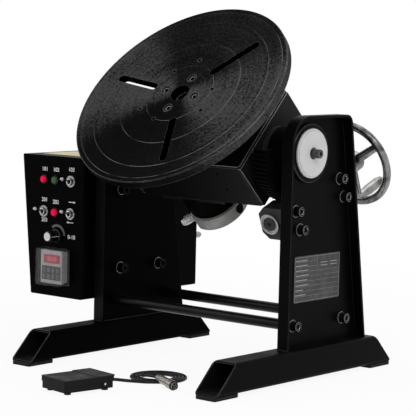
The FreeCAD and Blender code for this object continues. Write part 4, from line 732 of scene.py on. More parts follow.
class Paint(Enum):
    """The finishes of the positioner."""

    BLACK = PaintedSteel("black_powder_coat", (0.0015, 0.0015, 0.0016), 0.40, 0.030, dust=0.12)
    # Darker copy of the black coat for the left-hand pieces: painted shade.
    INNER = PaintedSteel("shaded_powder_coat", (0.0005, 0.0005, 0.0005), 0.42, 0.010, dust=0.05)
    BOX = PaintedSteel("box_powder_coat", (0.0007, 0.0007, 0.0007), 0.40, 0.014, dust=0.05)
    CARRIAGE = PaintedSteel("carriage_paint", (0.0024, 0.0024, 0.0025), 0.42, 0.045, dust=0.1)
    # Lighter copy of the carriage paint for faces towards +X: painted light.
    SIDE = PaintedSteel("lit_side_paint", (0.0070, 0.0070, 0.0071), 0.42, 0.10, dust=0.3)
    # Lighter copy of the black coat for the insides of the feet and the left column's front: painted light.
    TUBE = PaintedSteel("lit_coat", (0.0040, 0.0040, 0.0041), 0.40, 0.060, dust=0.3)
    CASE = PaintedSteel("case_paint", (0.0007, 0.0007, 0.0007), 0.5, 0.015, dust=0.1)
    PEDAL = PaintedSteel("pedal_grit_paint", (0.022, 0.022, 0.023), 0.62, 0.18, peel=1300.0,
                         peel_depth=0.00025, dust=1.0, dust_colour=(0.085, 0.085, 0.085))
    # The bright bevel finishes: partly rubbed paint, partly painted highlight along the edges.
    EDGE = RubbedAndLitEdge("paint_edge_wear_and_highlight", (0.060, 0.060, 0.060), 0.36, 0.3, 0.5)
    BRIGHT_EDGE = RubbedAndLitEdge("deck_edge_wear_and_highlight", (0.34, 0.34, 0.34), 0.34, 0.4, 0.7, bright_stretch_cut=0.36)
    BOLT_EDGE = RubbedAndLitEdge("screw_edge_wear_and_highlight", (0.42, 0.42, 0.42), 0.30, 0.5, 0.8, bright_stretch_cut=0.34)
    TABLE_EDGE = RubbedAndLitEdge("table_edge_wear_and_highlight", (0.15, 0.15, 0.15), 0.32, 0.5, 0.8,
                            coat=(0.003, 0.003, 0.003), bright_stretch_cut=0.53)
    BOLT = MachinedSteel("blackened_screw", (0.010, 0.010, 0.010), 0.34, 0.12, 0.5)
    WASHER = MachinedSteel("blackened_washer", (0.016, 0.016, 0.016), 0.36, 0.15, 0.5)
    ROD = MachinedSteel("drawn_bar", (0.0065, 0.0065, 0.0068), 0.24, 0.16, 0.5, along="X")
    OXIDE = MachinedSteel("black_oxide", (0.014, 0.014, 0.0145), 0.38, 0.15, 0.6)
    HOUSING = MachinedSteel("worm_housing_steel", (0.034, 0.034, 0.035), 0.42, 0.2, 0.5, along="Y")
    HOUSING_CAP = MachinedSteel("worm_cap_face", (0.040, 0.038, 0.037), 0.5, 0.2, 0.5, along="Y")
    CAP_RING = MachinedSteel("worm_cap_ring", (0.36, 0.36, 0.35), 0.30, 0.5, 0.8, along="Y")
    STEEL = MachinedSteel("ground_steel", (0.20, 0.20, 0.20), 0.30, 0.5, 1.0)
    STUB = MachinedSteel("shaft_steel", (0.085, 0.085, 0.084), 0.36, 0.3, 0.8)
    # Near-black hobbed steel for the wheels, worm and pinion: painted shade between the plates.
    SHADED_GEAR = MachinedSteel("shaded_hobbed_steel", (0.0035, 0.0035, 0.0035), 0.42, 0.03, 0.2)
    CAST = CastAluminium("cast_aluminium", (0.40, 0.40, 0.385), 0.55, 0.4, 0.35)
    POLISHED = WornBrightReflecting("polished_aluminium", (0.33, 0.33, 0.325), 0.24, 0.5, 0.95)
    TABLE = TurnedSteel("turned_table", (0.060, 0.060, 0.061), 0.36, 0.02, 0.95)
    PLATE = MachinedSteel("plate_silver", (0.066, 0.066, 0.066), 0.38, 0.3, 0.5, along="Y")
    PLATE_LINE = Moulded("plate_print", (0.36, 0.36, 0.36), 0.5, 0.3)
    CHROME = Plated("chrome_plate", (0.74, 0.74, 0.74), 0.16, 0.5, 0.85)
    SWITCH = Threaded("switch_plate", (0.78, 0.78, 0.77), 0.18, 0.5, 0.9, pitch=1.5 * MM)
    LEVER = Plated("lever_plate", (0.12, 0.12, 0.12), 0.20, 0.5, 0.9)
    GLAND = Threaded("gland_plate", (0.80, 0.79, 0.76), 0.16, 0.5, 0.9, along=(-0.669, -0.516, -0.535))
    SOCKET = Plated("socket_plate", (0.34, 0.34, 0.33), 0.25, 0.5, 0.9)
    NICKEL = Threaded("nickel_plate", (0.62, 0.57, 0.50), 0.20, 0.5, 0.9, along=(0.925, -0.373, -0.068))
    WHITE = Moulded("white_print", (0.86, 0.86, 0.86), 0.55, 0.3)
    CAP = Moulded("white_cap", (0.72, 0.72, 0.71), 0.35, 0.5)
    ARC = Moulded("grey_print", (0.10, 0.10, 0.10), 0.5, 0.3)
    KNOB = Moulded("black_knob", (0.004, 0.004, 0.004), 0.26, 0.35)
    PLASTIC = Moulded("black_plastic", (0.006, 0.006, 0.006), 0.45, 0.15)
    PEDAL_BASE = Moulded("pedal_moulding", (0.0075, 0.0075, 0.0075), 0.55, 0.12, grain=1100.0,
                         grain_depth=0.0001)
    BEZEL = Moulded("grey_bezel", (0.38, 0.38, 0.38), 0.45, 0.3)
    KEYS = Moulded("grey_keys", (0.12, 0.12, 0.12), 0.5, 0.3)
    KEY_GAP = Moulded("key_field", (0.060, 0.060, 0.060), 0.55, 0.2)
    DISPLAY = Moulded("red_display", (0.33, 0.055, 0.075), 0.3, 0.2, glow=0.1)
    DIGIT = Moulded("display_digit", (0.55, 0.13, 0.15), 0.3, 0.3, glow=0.3)
    HOOD = Moulded("clear_hood", (0.50, 0.50, 0.50), 0.12, 0.5, grain_depth=0.000004, alpha=0.055)
    # Paler, more opaque finish for the hood's bevels: painted highlight along the clear edges.
    HOOD_EDGE = Moulded("hood_rim", (0.55, 0.55, 0.55), 0.2, 0.5, grain_depth=0.000004, alpha=0.40)
    RED = Moulded("red_lens", (0.84, 0.003, 0.055), 0.35, 0.05, glow=0.35)
    GREEN = Moulded("green_button", (0.050, 0.125, 0.050), 0.45, 0.08, glow=0.15)
    RUBBER = Moulded("black_rubber", (0.008, 0.008, 0.008), 0.62, 0.15)
    CORD = Moulded("cord_sheath", (0.0085, 0.0088, 0.0100), 0.42, 0.20, grain=700.0)
    BOARD = Moulded("circuit_board", (0.02, 0.10, 0.04), 0.4, 0.5)
    DIAL = DialFace("dial_white", (0.68, 0.675, 0.675), 0.35, 0.3)
    FILM = ProtectiveFilm("printed_film", (0.66, 0.56, 0.24), 0.35, 0.5)
    BEAD = MachinedSteel("painted_weld", (0.006, 0.006, 0.006), 0.36, 0.12)


Coat = Finish | Paint


class PaintShop:
    """Makes each finish once and lays it on pieces."""

    def __init__(self) -> None:
        """Start with no material made."""
        self.made: dict[str, bpy.types.Material] = {}

    def coat(self, piece: bpy.types.Object, finish: Coat) -> bpy.types.Object:
        """Give a piece one finish all over.

        Args:
            piece: The piece, or a node of the frame.
            finish: The finish.

        Returns:
            The same piece.
        """
        piece.data.materials.clear()
        piece.data.materials.append(self.material(finish))
        for face in piece.data.polygons if hasattr(piece.data, "polygons") else ():
            face.material_index = 0
        return piece

    def patch(self, piece: bpy.types.Object, finish: Coat,
              pick: Callable[[bpy.types.MeshPolygon], bool]) -> None:
        """Give the faces that pass a test another finish.

        Args:
            piece: The piece.
            finish: Their finish.
            pick: The test of a face.
        """
        chosen = [face.index for face in piece.data.polygons if pick(face)]
        piece.data.materials.append(self.material(finish))
        for index in chosen:
            piece.data.polygons[index].material_index = len(piece.data.materials) - 1

    def material(self, finish: Coat) -> bpy.types.Material:
        """Return a finish's material, made once.

        Args:
            finish: The finish, or its name among the paints.

        Returns:
            The material.
        """
        recipe = finish.value if isinstance(finish, Paint) else finish
        if recipe.name not in self.made:
            self.made[recipe.name] = recipe.make()
        return self.made[recipe.name]


# ------------------------------------------------------------------ modelling


class Bench:
    """Modelling steps, each on one selected piece."""

    DOUBLES = 1e-6
    FLAT = math.radians(0.6)
    PRINT = 0.08 * MM

    @staticmethod
    def only(*pieces: bpy.types.Object) -> None:
        """Select these pieces and no other."""
        bpy.ops.object.select_all(action="DESELECT")
        for piece in pieces:
            piece.select_set(True)
        bpy.context.view_layer.objects.active = pieces[0]

    @staticmethod
    def settle(piece: bpy.types.Object, name: str, place: Place,
               turn: Place = (0, 0, 0)) -> bpy.types.Object:
        """Turn and move a piece made round the origin, and put its place into its mesh.

        Args:
            piece: The piece.
            name: Its name.
            place: Where its own origin goes.
            turn: Euler angles that turn it first.

        Returns:
            The same piece.
        """
        piece.name = name
        piece.data.name = name
        piece.rotation_euler = Euler(turn)
        piece.location = Vector(place)
        Bench.only(piece)
        bpy.ops.object.transform_apply(location=True, rotation=True, scale=True)
        return piece

    @staticmethod
    def break_edges(piece: bpy.types.Object, width: float, segments: int = 2, sharp: float = 32.0,
                    slot: int = -1) -> None:
        """Bevel a piece's sharp edges and shade it smooth.

        Args:
            piece: The piece.
            width: Width of the bevel.
            segments: Faces across the bevel.
            sharp: Angle above which an edge is sharp, in degrees.
            slot: Number of the material on the bevels, or -1 for the faces' own.
        """
        Bench.only(piece)
        if width:
            bevel = piece.modifiers.new("edges", "BEVEL")
            bevel.width = width
            bevel.segments = segments
            bevel.limit_method = "ANGLE"
            bevel.angle_limit = math.radians(sharp)
            bevel.material = slot
            bpy.ops.object.modifier_apply(modifier=bevel.name)
        bpy.ops.object.shade_smooth_by_angle(angle=math.radians(sharp + 8))
        weighted = piece.modifiers.new("flats", "WEIGHTED_NORMAL")
        weighted.keep_sharp = True
        bpy.ops.object.modifier_apply(modifier=weighted.name)

    @staticmethod
    def block(name: str, size: Place, place: Place, turn: Place = (0, 0, 0),
              bevel: float = 0.0) -> bpy.types.Object:
        """Make a block with broken edges.

        Args:
            name: Its name.
            size: Its three lengths.
            place: Its middle.
            turn: Euler angles.
            bevel: Width of its bevels.

        Returns:
            The block.
        """
        bpy.ops.object.select_all(action="DESELECT")
        bpy.ops.mesh.primitive_cube_add(size=1.0, scale=size)
        piece = Bench.settle(bpy.context.active_object, name, (0, 0, 0))
        if bevel:
            Bench.break_edges(piece, bevel)
        return Bench.settle(piece, name, place, turn)

    @staticmethod
    def turned(name: str, steps: Sequence[tuple[float, float]], place: Place, turn: Place = (0, 0, 0),
               sides: int = 40, bevel: float = 0.0) -> bpy.types.Object:
        """Make a turned piece along its own Z, closed at both ends.

        Args:
            name: Its name.
            steps: Radius and height of each ring, from the bottom up.
            place: Where its own origin goes.
            turn: Euler angles.
            sides: Faces round it.
            bevel: Width of its bevels.

        Returns:
            The turned piece.
        """
        radius, height = steps[0]
        bpy.ops.object.select_all(action="DESELECT")
        bpy.ops.mesh.primitive_circle_add(vertices=sides, radius=radius, fill_type="NGON",
                                          location=(0, 0, height))
        piece = bpy.context.active_object
        bpy.ops.object.transform_apply(location=True, rotation=True, scale=True)
        bpy.ops.object.mode_set(mode="EDIT")
        bpy.ops.mesh.select_all(action="SELECT")
        for next_radius, next_height in steps[1:]:
            bpy.ops.mesh.extrude_region_move(
                TRANSFORM_OT_translate={"value": (0, 0, next_height - height)})
            ratio = next_radius / radius
            bpy.ops.transform.resize(value=(ratio, ratio, 1), center_override=(0, 0, next_height))
            radius, height = next_radius, next_height
        bpy.ops.mesh.select_all(action="SELECT")
        bpy.ops.mesh.normals_make_consistent(inside=False)
        bpy.ops.object.mode_set(mode="OBJECT")
        Bench.break_edges(piece, bevel)
        return Bench.settle(piece, name, place, turn)

    @staticmethod
    def arc(name: str, radius: float, width: float, depth: float, start: float, sweep: float,
            place: Place, turn: Place = (0, 0, 0)) -> bpy.types.Object:
        """Make a flat band along a circle's arc.

        Args:
            name: Its name.
            radius: Radius of its middle line.
            width: Width of the band.
            depth: Its thickness along its own Z.
            start: First angle, in degrees.
            sweep: Angle that it covers, in degrees.
            place: The circle's middle.
            turn: Euler angles.

        Returns:
            The band.
        """
        bpy.ops.object.select_all(action="DESELECT")
        bpy.ops.mesh.primitive_plane_add(size=1.0, location=(radius, 0, 0),
                                         rotation=(math.pi / 2, 0, 0))
        piece = bpy.context.active_object
        piece.scale = (width, depth, 1)
        bpy.ops.object.transform_apply(location=True, rotation=True, scale=True)
        bpy.ops.object.mode_set(mode="EDIT")
        bpy.ops.mesh.select_all(action="SELECT")
        bpy.ops.mesh.spin(steps=max(4, int(abs(sweep) / 4)), angle=math.radians(sweep),
                          center=(0, 0, 0), axis=(0, 0, 1))
        bpy.ops.mesh.select_all(action="SELECT")
        bpy.ops.mesh.remove_doubles(threshold=Bench.DOUBLES)
        bpy.ops.mesh.normals_make_consistent(inside=False)
        bpy.ops.object.mode_set(mode="OBJECT")
        Bench.settle(piece, name, (0, 0, 0), (0, 0, math.radians(start)))
        Bench.break_edges(piece, 0.0)
        return Bench.settle(piece, name, place, turn)

    @staticmethod
    def figure(name: str, words: str, tall: float, place: Place, turn: Place) -> bpy.types.Object:
        """Make a printed figure or sign as a thin raised mesh.

        Args:
            name: Its name.
            words: What it says.
            tall: Height of its letters.
            place: Its middle.
            turn: Euler angles.

        Returns:
            The figure.
        """
        bpy.ops.object.select_all(action="DESELECT")
        bpy.ops.object.text_add()
        piece = bpy.context.active_object
        piece.data.body = words
        piece.data.size = tall
        piece.data.align_x = "CENTER"
        piece.data.align_y = "CENTER"
        piece.data.extrude = Bench.PRINT
        piece.data.offset = tall * 0.012
        bpy.ops.object.convert(target="MESH")
        return Bench.settle(bpy.context.active_object, name, place, turn)

    @staticmethod
    def drawn_in(piece: bpy.types.Object, pick: Callable[[Vector], bool], middle: Place,
                 ratio: Place) -> None:
        """Scale the corners of a piece that pass a test about a middle.

        Args:
            piece: The piece.
            pick: The test of a corner's place.
            middle: What they are scaled about.
            ratio: The scale along X, Y and Z.
        """
        Bench.only(piece)
        bpy.ops.object.mode_set(mode="EDIT")
        bpy.ops.mesh.select_mode(type="VERT")
        bpy.ops.mesh.select_all(action="DESELECT")
        bpy.ops.object.mode_set(mode="OBJECT")
        for corner in piece.data.vertices:
            corner.select = pick(corner.co)
        bpy.ops.object.mode_set(mode="EDIT")
        bpy.ops.transform.resize(value=ratio, center_override=middle)
        bpy.ops.object.mode_set(mode="OBJECT")

    @staticmethod
    def joined(name: str, pieces: Sequence[bpy.types.Object]) -> bpy.types.Object:
        """Join pieces into one.

        Args:
            name: Its name.
            pieces: The pieces, which it takes up.

        Returns:
            The joined piece.
        """
        Bench.only(*pieces)
        bpy.ops.object.join()
        piece = bpy.context.active_object
        piece.name = name
        piece.data.name = name
        return piece

    @staticmethod
    def copy_of(node: bpy.types.Object, name: str) -> bpy.types.Object:
        """Copy a node of the frame as one merged mesh of flat and round faces.

        Args:
            node: The node.
            name: The copy's name.

        Returns:
            The copy, which belongs to no body yet.
        """
        Bench.only(node)
        bpy.ops.object.duplicate()
        piece = bpy.context.active_object
        bpy.ops.object.parent_clear(type="CLEAR_KEEP_TRANSFORM")
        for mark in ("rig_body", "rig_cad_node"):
            del piece[mark]
        bpy.ops.mesh.customdata_custom_splitnormals_clear()
        bpy.ops.object.mode_set(mode="EDIT")
        bpy.ops.mesh.select_all(action="SELECT")
        bpy.ops.mesh.remove_doubles(threshold=Bench.DOUBLES)
        bpy.ops.mesh.dissolve_limited(angle_limit=Bench.FLAT)
        bpy.ops.object.mode_set(mode="OBJECT")
        return Bench.settle(piece, name, (0, 0, 0))


def in_mm(steps: Steps) -> Steps:
    """Turn a profile in millimetres into metres."""
    return tuple((radius * MM, height * MM) for radius, height in steps)


def facing_along(way: Vector) -> Place:
    """Return the Euler angles that turn Z to a direction."""
    return tuple(way.to_track_quat("Z", "Y").to_euler())


# ------------------------------------------------------------------ sub-assemblies


@dataclass
class Assembly:
    """A sub-assembly: it builds its own meshes and dresses the frame's nodes."""

    frame: dict[str, Any]
    shop: PaintShop

    def node(self, name: str) -> bpy.types.Object:
        """Return a node of the frame."""
        return self.frame["nodes"][name]

    def body_of(self, name: str) -> str:
        """Return the body that carries a node."""
        return self.node(name)["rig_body"]

    def coat(self, finish: Coat, *names: str) -> None:
        """Give nodes of the frame a finish."""
        for name in names:
            self.shop.coat(self.node(name), finish)

    def middle(self, name: str) -> Vector:
        """Return the middle of a node's box."""
        low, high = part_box(name)
        return (low + high) / 2

    def edge_broken(self, name: str, finish: Coat, slot: str, bevel: float, segments: int = 2,
                    glint_and_wear: Coat | None = None,
                    reshape: Callable[[bpy.types.Object], None] | None = None) -> bpy.types.Object:
        """Stand an edge-broken copy in for a node.

        Args:
            name: The node.
            finish: The copy's finish.
            slot: The record's slot for it; not used.
            bevel: Width of its bevels.
            segments: Faces across a bevel.
            glint_and_wear: Finish of the bevels, where it is another.
            reshape: A last step on the copy's form, before its edges are broken.

        Returns:
            The copy.
        """
        piece = Bench.copy_of(self.node(name), f"{name}_dressed")
        if reshape:
            reshape(piece)
        self.shop.coat(piece, finish)
        if glint_and_wear:
            piece.data.materials.append(self.shop.material(glint_and_wear))
        # The bevels take the bright finish where one is given: partly rubbed paint, partly painted
        # highlight.
        Bench.break_edges(piece, bevel, segments, slot=1 if glint_and_wear else -1)
        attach(piece, self.body_of(name))
        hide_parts(name)
        LOG.info("%s: %d faces", piece.name, len(piece.data.polygons))
        return piece

    def add(self, piece: bpy.types.Object, finish: Coat, body: str, slot: str) -> bpy.types.Object:
        """Coat a new piece and let it ride on a body.

        Args:
            piece: The piece.
            finish: Its finish.
            body: The body that carries it.
            slot: The record's slot for it; not used.

        Returns:
            The same piece.
        """
        self.shop.coat(piece, finish)
        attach(piece, body)
        LOG.info("%s: %d faces", piece.name, len(piece.data.polygons))
        return piece

    def build(self) -> None:
        """Build and dress the sub-assembly."""
        raise NotImplementedError


@dataclass
class Stand(Assembly):
    """Feet, columns, tie rods and their fasteners."""

    rod_swell: float = 1.15
    wall: float = 2.6 * MM
    bevel: float = 0.7 * MM
    bead: float = 1.9 * MM
    ripple: float = 3.0 * MM
    bead_in: float = 2.0 * MM
    bead_dip: float = 0.86
    bead_end: float = 0.45
    bead_spread: tuple[float, float] = (0.94, 1.06)
    rod_near: float = 20.0 * MM

    def build(self) -> None:
        """Dress the steelwork and lay the weld beads."""
        # The left foot and left column take the darker coat: painted shade.
        for name, paint in (("foot_left", Paint.INNER), ("foot_right", Paint.BLACK),
                            ("column_left", Paint.INNER), ("column_right", Paint.BLACK)):
            piece = self.edge_broken(name, paint, "black_paint", self.bevel, glint_and_wear=Paint.EDGE)
            if name.startswith("foot"):
                self.coat_tube(piece, name)
            # The left column's front faces take the lighter coat: painted light.
            if name == "column_left":
                self.shop.patch(piece, Paint.TUBE, lambda face: face.normal.y < -SQUARE)
        washers = self.edge_broken("column_washers", Paint.WASHER, "black_bolt", 0.6 * MM,
                                   glint_and_wear=Paint.BOLT_EDGE)
        # Washers and screws on the left column take darker finishes: painted shade.
        self.shade_left(washers, 0, Paint.INNER)
        screws = self.edge_broken("column_screws", Paint.BOLT, "black_bolt", 0.55 * MM,
                                  glint_and_wear=Paint.BOLT_EDGE)
        self.shade_left(screws, 1, Paint.EDGE)
        self.shade_left(screws, 0, Paint.INNER)
        self.dress_rods()
        self.coat(Paint.RUBBER, "floor_pads")
        self.coat(Paint.BLACK, "box_spacers")
        self.weld_columns()

    def coat_tube(self, piece: bpy.types.Object, name: str) -> None:
        """Coat the inside of a foot's tube lighter than its outside: painted light.

        Args:
            piece: The foot.
            name: The node that it stands for.
        """
        low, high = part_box(name)

        def inside(face: bpy.types.MeshPolygon) -> bool:
            """Tell whether a face lies within the tube's walls."""
            return abs(face.normal.y) < ACROSS and all(
                low[k] + self.wall < face.center[k] < high[k] - self.wall for k in (0, 2))

        self.shop.patch(piece, Paint.TUBE, inside)

    def shade_left(self, piece: bpy.types.Object, number: int, finish: Coat) -> None:
        """Give the faces of one material a darker finish at the left column: painted shade.

        Args:
            piece: The fasteners.
            number: The number of their material.
            finish: The darker finish.
        """
        self.shop.patch(piece, finish, lambda face: face.center.x < 0 and face.material_index == number)

    def dress_rods(self) -> None:
        """Dress the tie rods and make them a little stouter."""
        low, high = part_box("tie_rods")
        rise = (low.z + high.z) / 2
        fronts = (low.y + high.z - rise, high.y - high.z + rise)

        def swell(piece: bpy.types.Object) -> None:
            """Swell each rod about its own axis."""
            for middle in fronts:
                Bench.drawn_in(piece, lambda co, middle=middle: abs(co.y - middle) < self.rod_near,
                               (0.0, middle, rise), (1.0, self.rod_swell, self.rod_swell))

        self.edge_broken("tie_rods", Paint.ROD, "steel", 0.0, reshape=swell)

    def weld_columns(self) -> None:
        """Run a fillet weld round each column where it stands on its foot."""
        for name, side in (("left", -1.0), ("right", 1.0)):
            low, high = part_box(f"column_{name}")
            web = min(abs(low.x), abs(high.x)) * side
            edge = max(abs(low.x), abs(high.x)) * side
            runs = (
                (Vector((web, low.y + self.bead_in, low.z)), Vector((web, high.y - self.bead_in, low.z))),
                (Vector((web, low.y, low.z)), Vector((edge, low.y, low.z))),
                (Vector((web, high.y, low.z)), Vector((edge, high.y, low.z))),
            )
            beads = [self.weld_bead(start, end) for start, end in runs]
            piece = Bench.joined(f"column_weld_{name}", beads)
            self.add(piece, Paint.BEAD, self.body_of(f"column_{name}"), "black_paint")

    def weld_bead(self, start: Vector, end: Vector) -> bpy.types.Object:
        """Make one rippled weld bead between two points.

        Args:
            start: Where the bead starts.
            end: Where it ends.

        Returns:
            The bead.
        """
        run = end - start
        ripples = max(3, int(run.length / self.ripple))
        chance = random.Random(ripples)
        rings = []
        for k in range(2 * ripples + 1):
            swell = (1.0 if k % 2 else self.bead_dip) * chance.uniform(*self.bead_spread)
            ends = self.bead_end if k in (0, 2 * ripples) else 1.0
            rings.append((self.bead * swell * ends, run.length * k / (2 * ripples)))
        return Bench.turned("bead", rings, tuple(start), facing_along(run), sides=9)


@dataclass
class TiltAxis(Assembly):
    """Tilt bearings, shafts and the dial outside the right column."""

    flange_beyond: float = 50.0 * MM
    flange_ratio: float = 0.87
    dial_beyond: float = 40.0 * MM
    dial_ratio: float = 0.90
    stub_in: float = 5.0 * MM

    def build(self) -> None:
        """Dress the bearings, shafts and dial."""
        middle = tuple(self.middle("tilt_dial"))
        self.edge_broken("bearing_flanges", Paint.CARRIAGE, "black_paint", 1.4 * MM, 3,
                         glint_and_wear=Paint.EDGE, reshape=lambda piece: self.pull_rim(
                             piece, middle, self.flange_beyond, self.flange_ratio))
        face = replace(Paint.DIAL.value, middle=middle)
        self.edge_broken("tilt_dial", face, "dial_face", 0.5 * MM, reshape=lambda piece: self.pull_rim(
            piece, middle, self.dial_beyond, self.dial_ratio))
        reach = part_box("tilt_shaft_right")[1].x
        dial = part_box("tilt_dial")[1].x
        ratio = (reach - self.stub_in - dial) / (reach - dial)
        self.edge_broken("tilt_shaft_right", Paint.STUB, "steel", 0.5 * MM,
                         reshape=lambda piece: Bench.drawn_in(
                             piece, lambda co: co.x > dial + 0.1 * MM, (dial, 0.0, 0.0), (ratio, 1.0, 1.0)))
        self.coat(Paint.STUB, "tilt_shaft_left")

    @staticmethod
    def pull_rim(piece: bpy.types.Object, middle: Place, beyond: float, ratio: float) -> None:
        """Draw in what lies beyond a radius round the tilt axis.

        Args:
            piece: The piece.
            middle: A point on the axis.
            beyond: The radius.
            ratio: How far it is drawn in.
        """
        def outside(corner: Vector) -> bool:
            """Tell whether a corner lies beyond the radius."""
            return math.hypot(corner.y - middle[1], corner.z - middle[2]) > beyond

        Bench.drawn_in(piece, outside, middle, (1.0, ratio, ratio))


@dataclass
class Carriage(Assembly):
    """Welded carriage between the columns, with the spindle housing."""

    casting_shade_steps: Steps = ((9.5, -5.0), (9.5, -0.6), (8.17, -0.1), (4.275, -0.5))
    sink: float = 6.0 * MM
    bevel: float = 0.8 * MM
    thread_steps: Steps = ((7.7, 9.2), (8.3, 9.7), (8.3, 10.6), (7.7, 11.1))
    thread_pitch: float = 2.5
    thread_turns: int = 4
    gland_half: float = 12.0 * MM

    def build(self) -> None:
        """Dress the carriage's plates and the housings on it."""
        for name, glint_and_wear in (("carriage_deck", Paint.BRIGHT_EDGE), ("carriage_walls", Paint.EDGE),
                           ("carriage_sides", Paint.BRIGHT_EDGE), ("drive_deck", Paint.EDGE)):
            piece = self.edge_broken(name, Paint.CARRIAGE, "black_paint", self.bevel, glint_and_wear=glint_and_wear)
            # Faces towards +X take the lighter paint: painted light.
            self.shop.patch(piece, Paint.SIDE,
                            lambda face: face.normal.x > SQUARE and face.material_index == 0)
        self.coat(Paint.CASE, "spindle_case", "drive_gearcase")
        self.edge_broken("drive_casting", Paint.CAST, "cast_aluminium", 0.5 * MM)
        self.coat(Paint.CASE, "drive_motor")
        self.shade_casting_hole()
        self.dress_gland()
        self.coat(Paint.SHADED_GEAR, "spindle_gear", "drive_pinion")
        self.coat(Paint.STEEL, "spindle_bearings")

    def shade_casting_hole(self) -> None:
        """Set a black disc in the casting's side hole: painted shade for its dark inside."""
        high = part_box("drive_casting")[1]
        floor = [Vector(corner.co) for corner in self.node("drive_casting").data.vertices
                 if abs(corner.co.x - (high.x - self.sink)) < 0.02 * MM]
        middle = sum(floor, Vector()) / len(floor)
        plug = Bench.turned("casting_hole_shade", in_mm(self.casting_shade_steps), (high.x, middle.y, middle.z),
                            (0.0, math.pi / 2, 0.0), sides=40)
        self.add(plug, Paint.CASE, self.body_of("drive_casting"), "rubber")

    def dress_gland(self) -> None:
        """Dress the cable gland and cut its thread rings."""
        self.edge_broken("drive_gland", Paint.GLAND, "cast_aluminium", 0.5 * MM)
        way = Vector(Paint.GLAND.value.along)
        start = self.middle("drive_gland") - way * self.gland_half
        steps = tuple((radius, rise + self.thread_pitch * ring)
                      for ring in range(self.thread_turns) for radius, rise in self.thread_steps)
        rings = Bench.turned("gland_thread", in_mm(steps), tuple(start), facing_along(way), sides=36)
        self.add(rings, Paint.GLAND, self.body_of("drive_gland"), "cast_aluminium")


@dataclass
class WormDrive(Assembly):
    """Worm, its housing and the toothed sector on the tilt shaft."""

    disc_steps: Steps = ((12.0, -0.4), (12.0, 0.25), (11.16, 0.5), (4.8, 0.5), (4.08, 0.1))
    cap_shade_steps: Steps = ((3.6, 0.0), (3.6, 0.42), (2.88, 0.5))
    hub_highlight_width: float = 0.8 * MM
    hub_highlight_depth: float = 0.3 * MM
    hub_highlight_sweep: float = 354.0

    def build(self) -> None:
        """Dress the worm gear."""
        self.edge_broken("worm_housing", Paint.HOUSING, "black_paint", 1.0 * MM, 3)
        self.edge_broken("worm_caps", Paint.CAP_RING, "cast_aluminium", 0.6 * MM)
        self.coat(Paint.SHADED_GEAR, "worm_wheel", "worm_shaft")
        self.coat(Paint.BOLT, "wheel_screws")
        self.coat(Paint.STEEL, "worm_bearings")
        self.edge_broken("handwheel", Paint.POLISHED, "polished_aluminium", 0.0)
        self.edge_broken("crank_handle", Paint.POLISHED, "polished_aluminium", 0.4 * MM)
        self.lay_hub_highlight()
        self.face_caps()

    def lay_hub_highlight(self) -> None:
        """Lay a bright band along the rim of the sector's round hub: a painted highlight."""
        low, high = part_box("worm_wheel")
        rise = self.middle("tilt_dial").z
        rim = Bench.arc("hub_rim_highlight", high.z - rise - self.hub_highlight_width / 2, self.hub_highlight_width, self.hub_highlight_depth,
                        0.0, self.hub_highlight_sweep, (low.x, 0.0, rise), (0.0, math.pi / 2, 0.0))
        self.add(rim, Paint.BRIGHT_EDGE, self.body_of("worm_wheel"), "steel")

    def face_caps(self) -> None:
        """Set a darker disc into each end cap of the worm housing, with a small black disc in its middle:
        painted shade for a blind hole.
        """
        joint = next(j for j in self.frame["joints"] if j["name"] == "handwheel_turn")
        along = Vector(joint["axis"]).normalized()
        origin = Vector(joint["pos_m"])
        reach = [(Vector(corner.co) - origin).dot(along) for corner in self.node("worm_caps").data.vertices]
        for name, end, way in (("front", min(reach), -1.0), ("back", max(reach), 1.0)):
            turn = facing_along(along * way)
            face = tuple(origin + along * end)
            disc = Bench.turned(f"cap_disc_{name}", in_mm(self.disc_steps), face, turn, sides=40)
            self.add(disc, Paint.HOUSING_CAP, "stand", "steel")
            hole = Bench.turned(f"cap_hole_shade_{name}", in_mm(self.cap_shade_steps), face, turn, sides=20)
            self.add(hole, Paint.RUBBER, "stand", "black_paint")


@dataclass
class Table(Assembly):
    """The turned table, its screws and the spindle below."""

    rings: tuple[float, ...] = (0.0635, 0.1135, 0.1655, 0.1905)
    screw_circle: float = 0.035
    screw_turn: float = -9.0
    sink: float = 0.0085
    tap: float = 0.0034
    taps: tuple[tuple[float, float], ...] = ((0.064, 11.0), (0.076, 92.0))
    lean: float = 46.0
    axis: Place = (0.0, 0.0, 0.38)

    def build(self) -> None:
        """Dress the table and what turns with it."""
        holes = self.on_circle(self.screw_circle, self.screw_turn, 4, self.sink)
        for circle, start in self.taps:
            holes += self.on_circle(circle, start, 3, self.tap)
        face = replace(Paint.TABLE.value, origin=self.axis, turn=(math.radians(self.lean), 0.0, 0.0),
                       rings=self.rings, holes=tuple(holes))
        self.edge_broken("table_plate", face, "black_oxide", 0.5 * MM, glint_and_wear=Paint.TABLE_EDGE)
        self.edge_broken("table_screws", Paint.BOLT, "black_bolt", 0.45 * MM,
                         glint_and_wear=Paint.BOLT_EDGE)
        self.edge_broken("spindle", Paint.OXIDE, "steel", 0.5 * MM, glint_and_wear=Paint.BRIGHT_EDGE)

    @staticmethod
    def on_circle(circle: float, start: float, count: int, radius: float) -> list[Place]:
        """Space holes evenly round the table's middle.

        Args:
            circle: Radius of their circle.
            start: Angle of the first, in degrees.
            count: How many there are.
            radius: Radius of each.

        Returns:
            Each hole's two coordinates on the face, and its radius.
        """
        angles = [math.radians(start + 360.0 / count * k) for k in range(count)]
        return [(circle * math.cos(angle), circle * math.sin(angle), radius) for angle in angles]


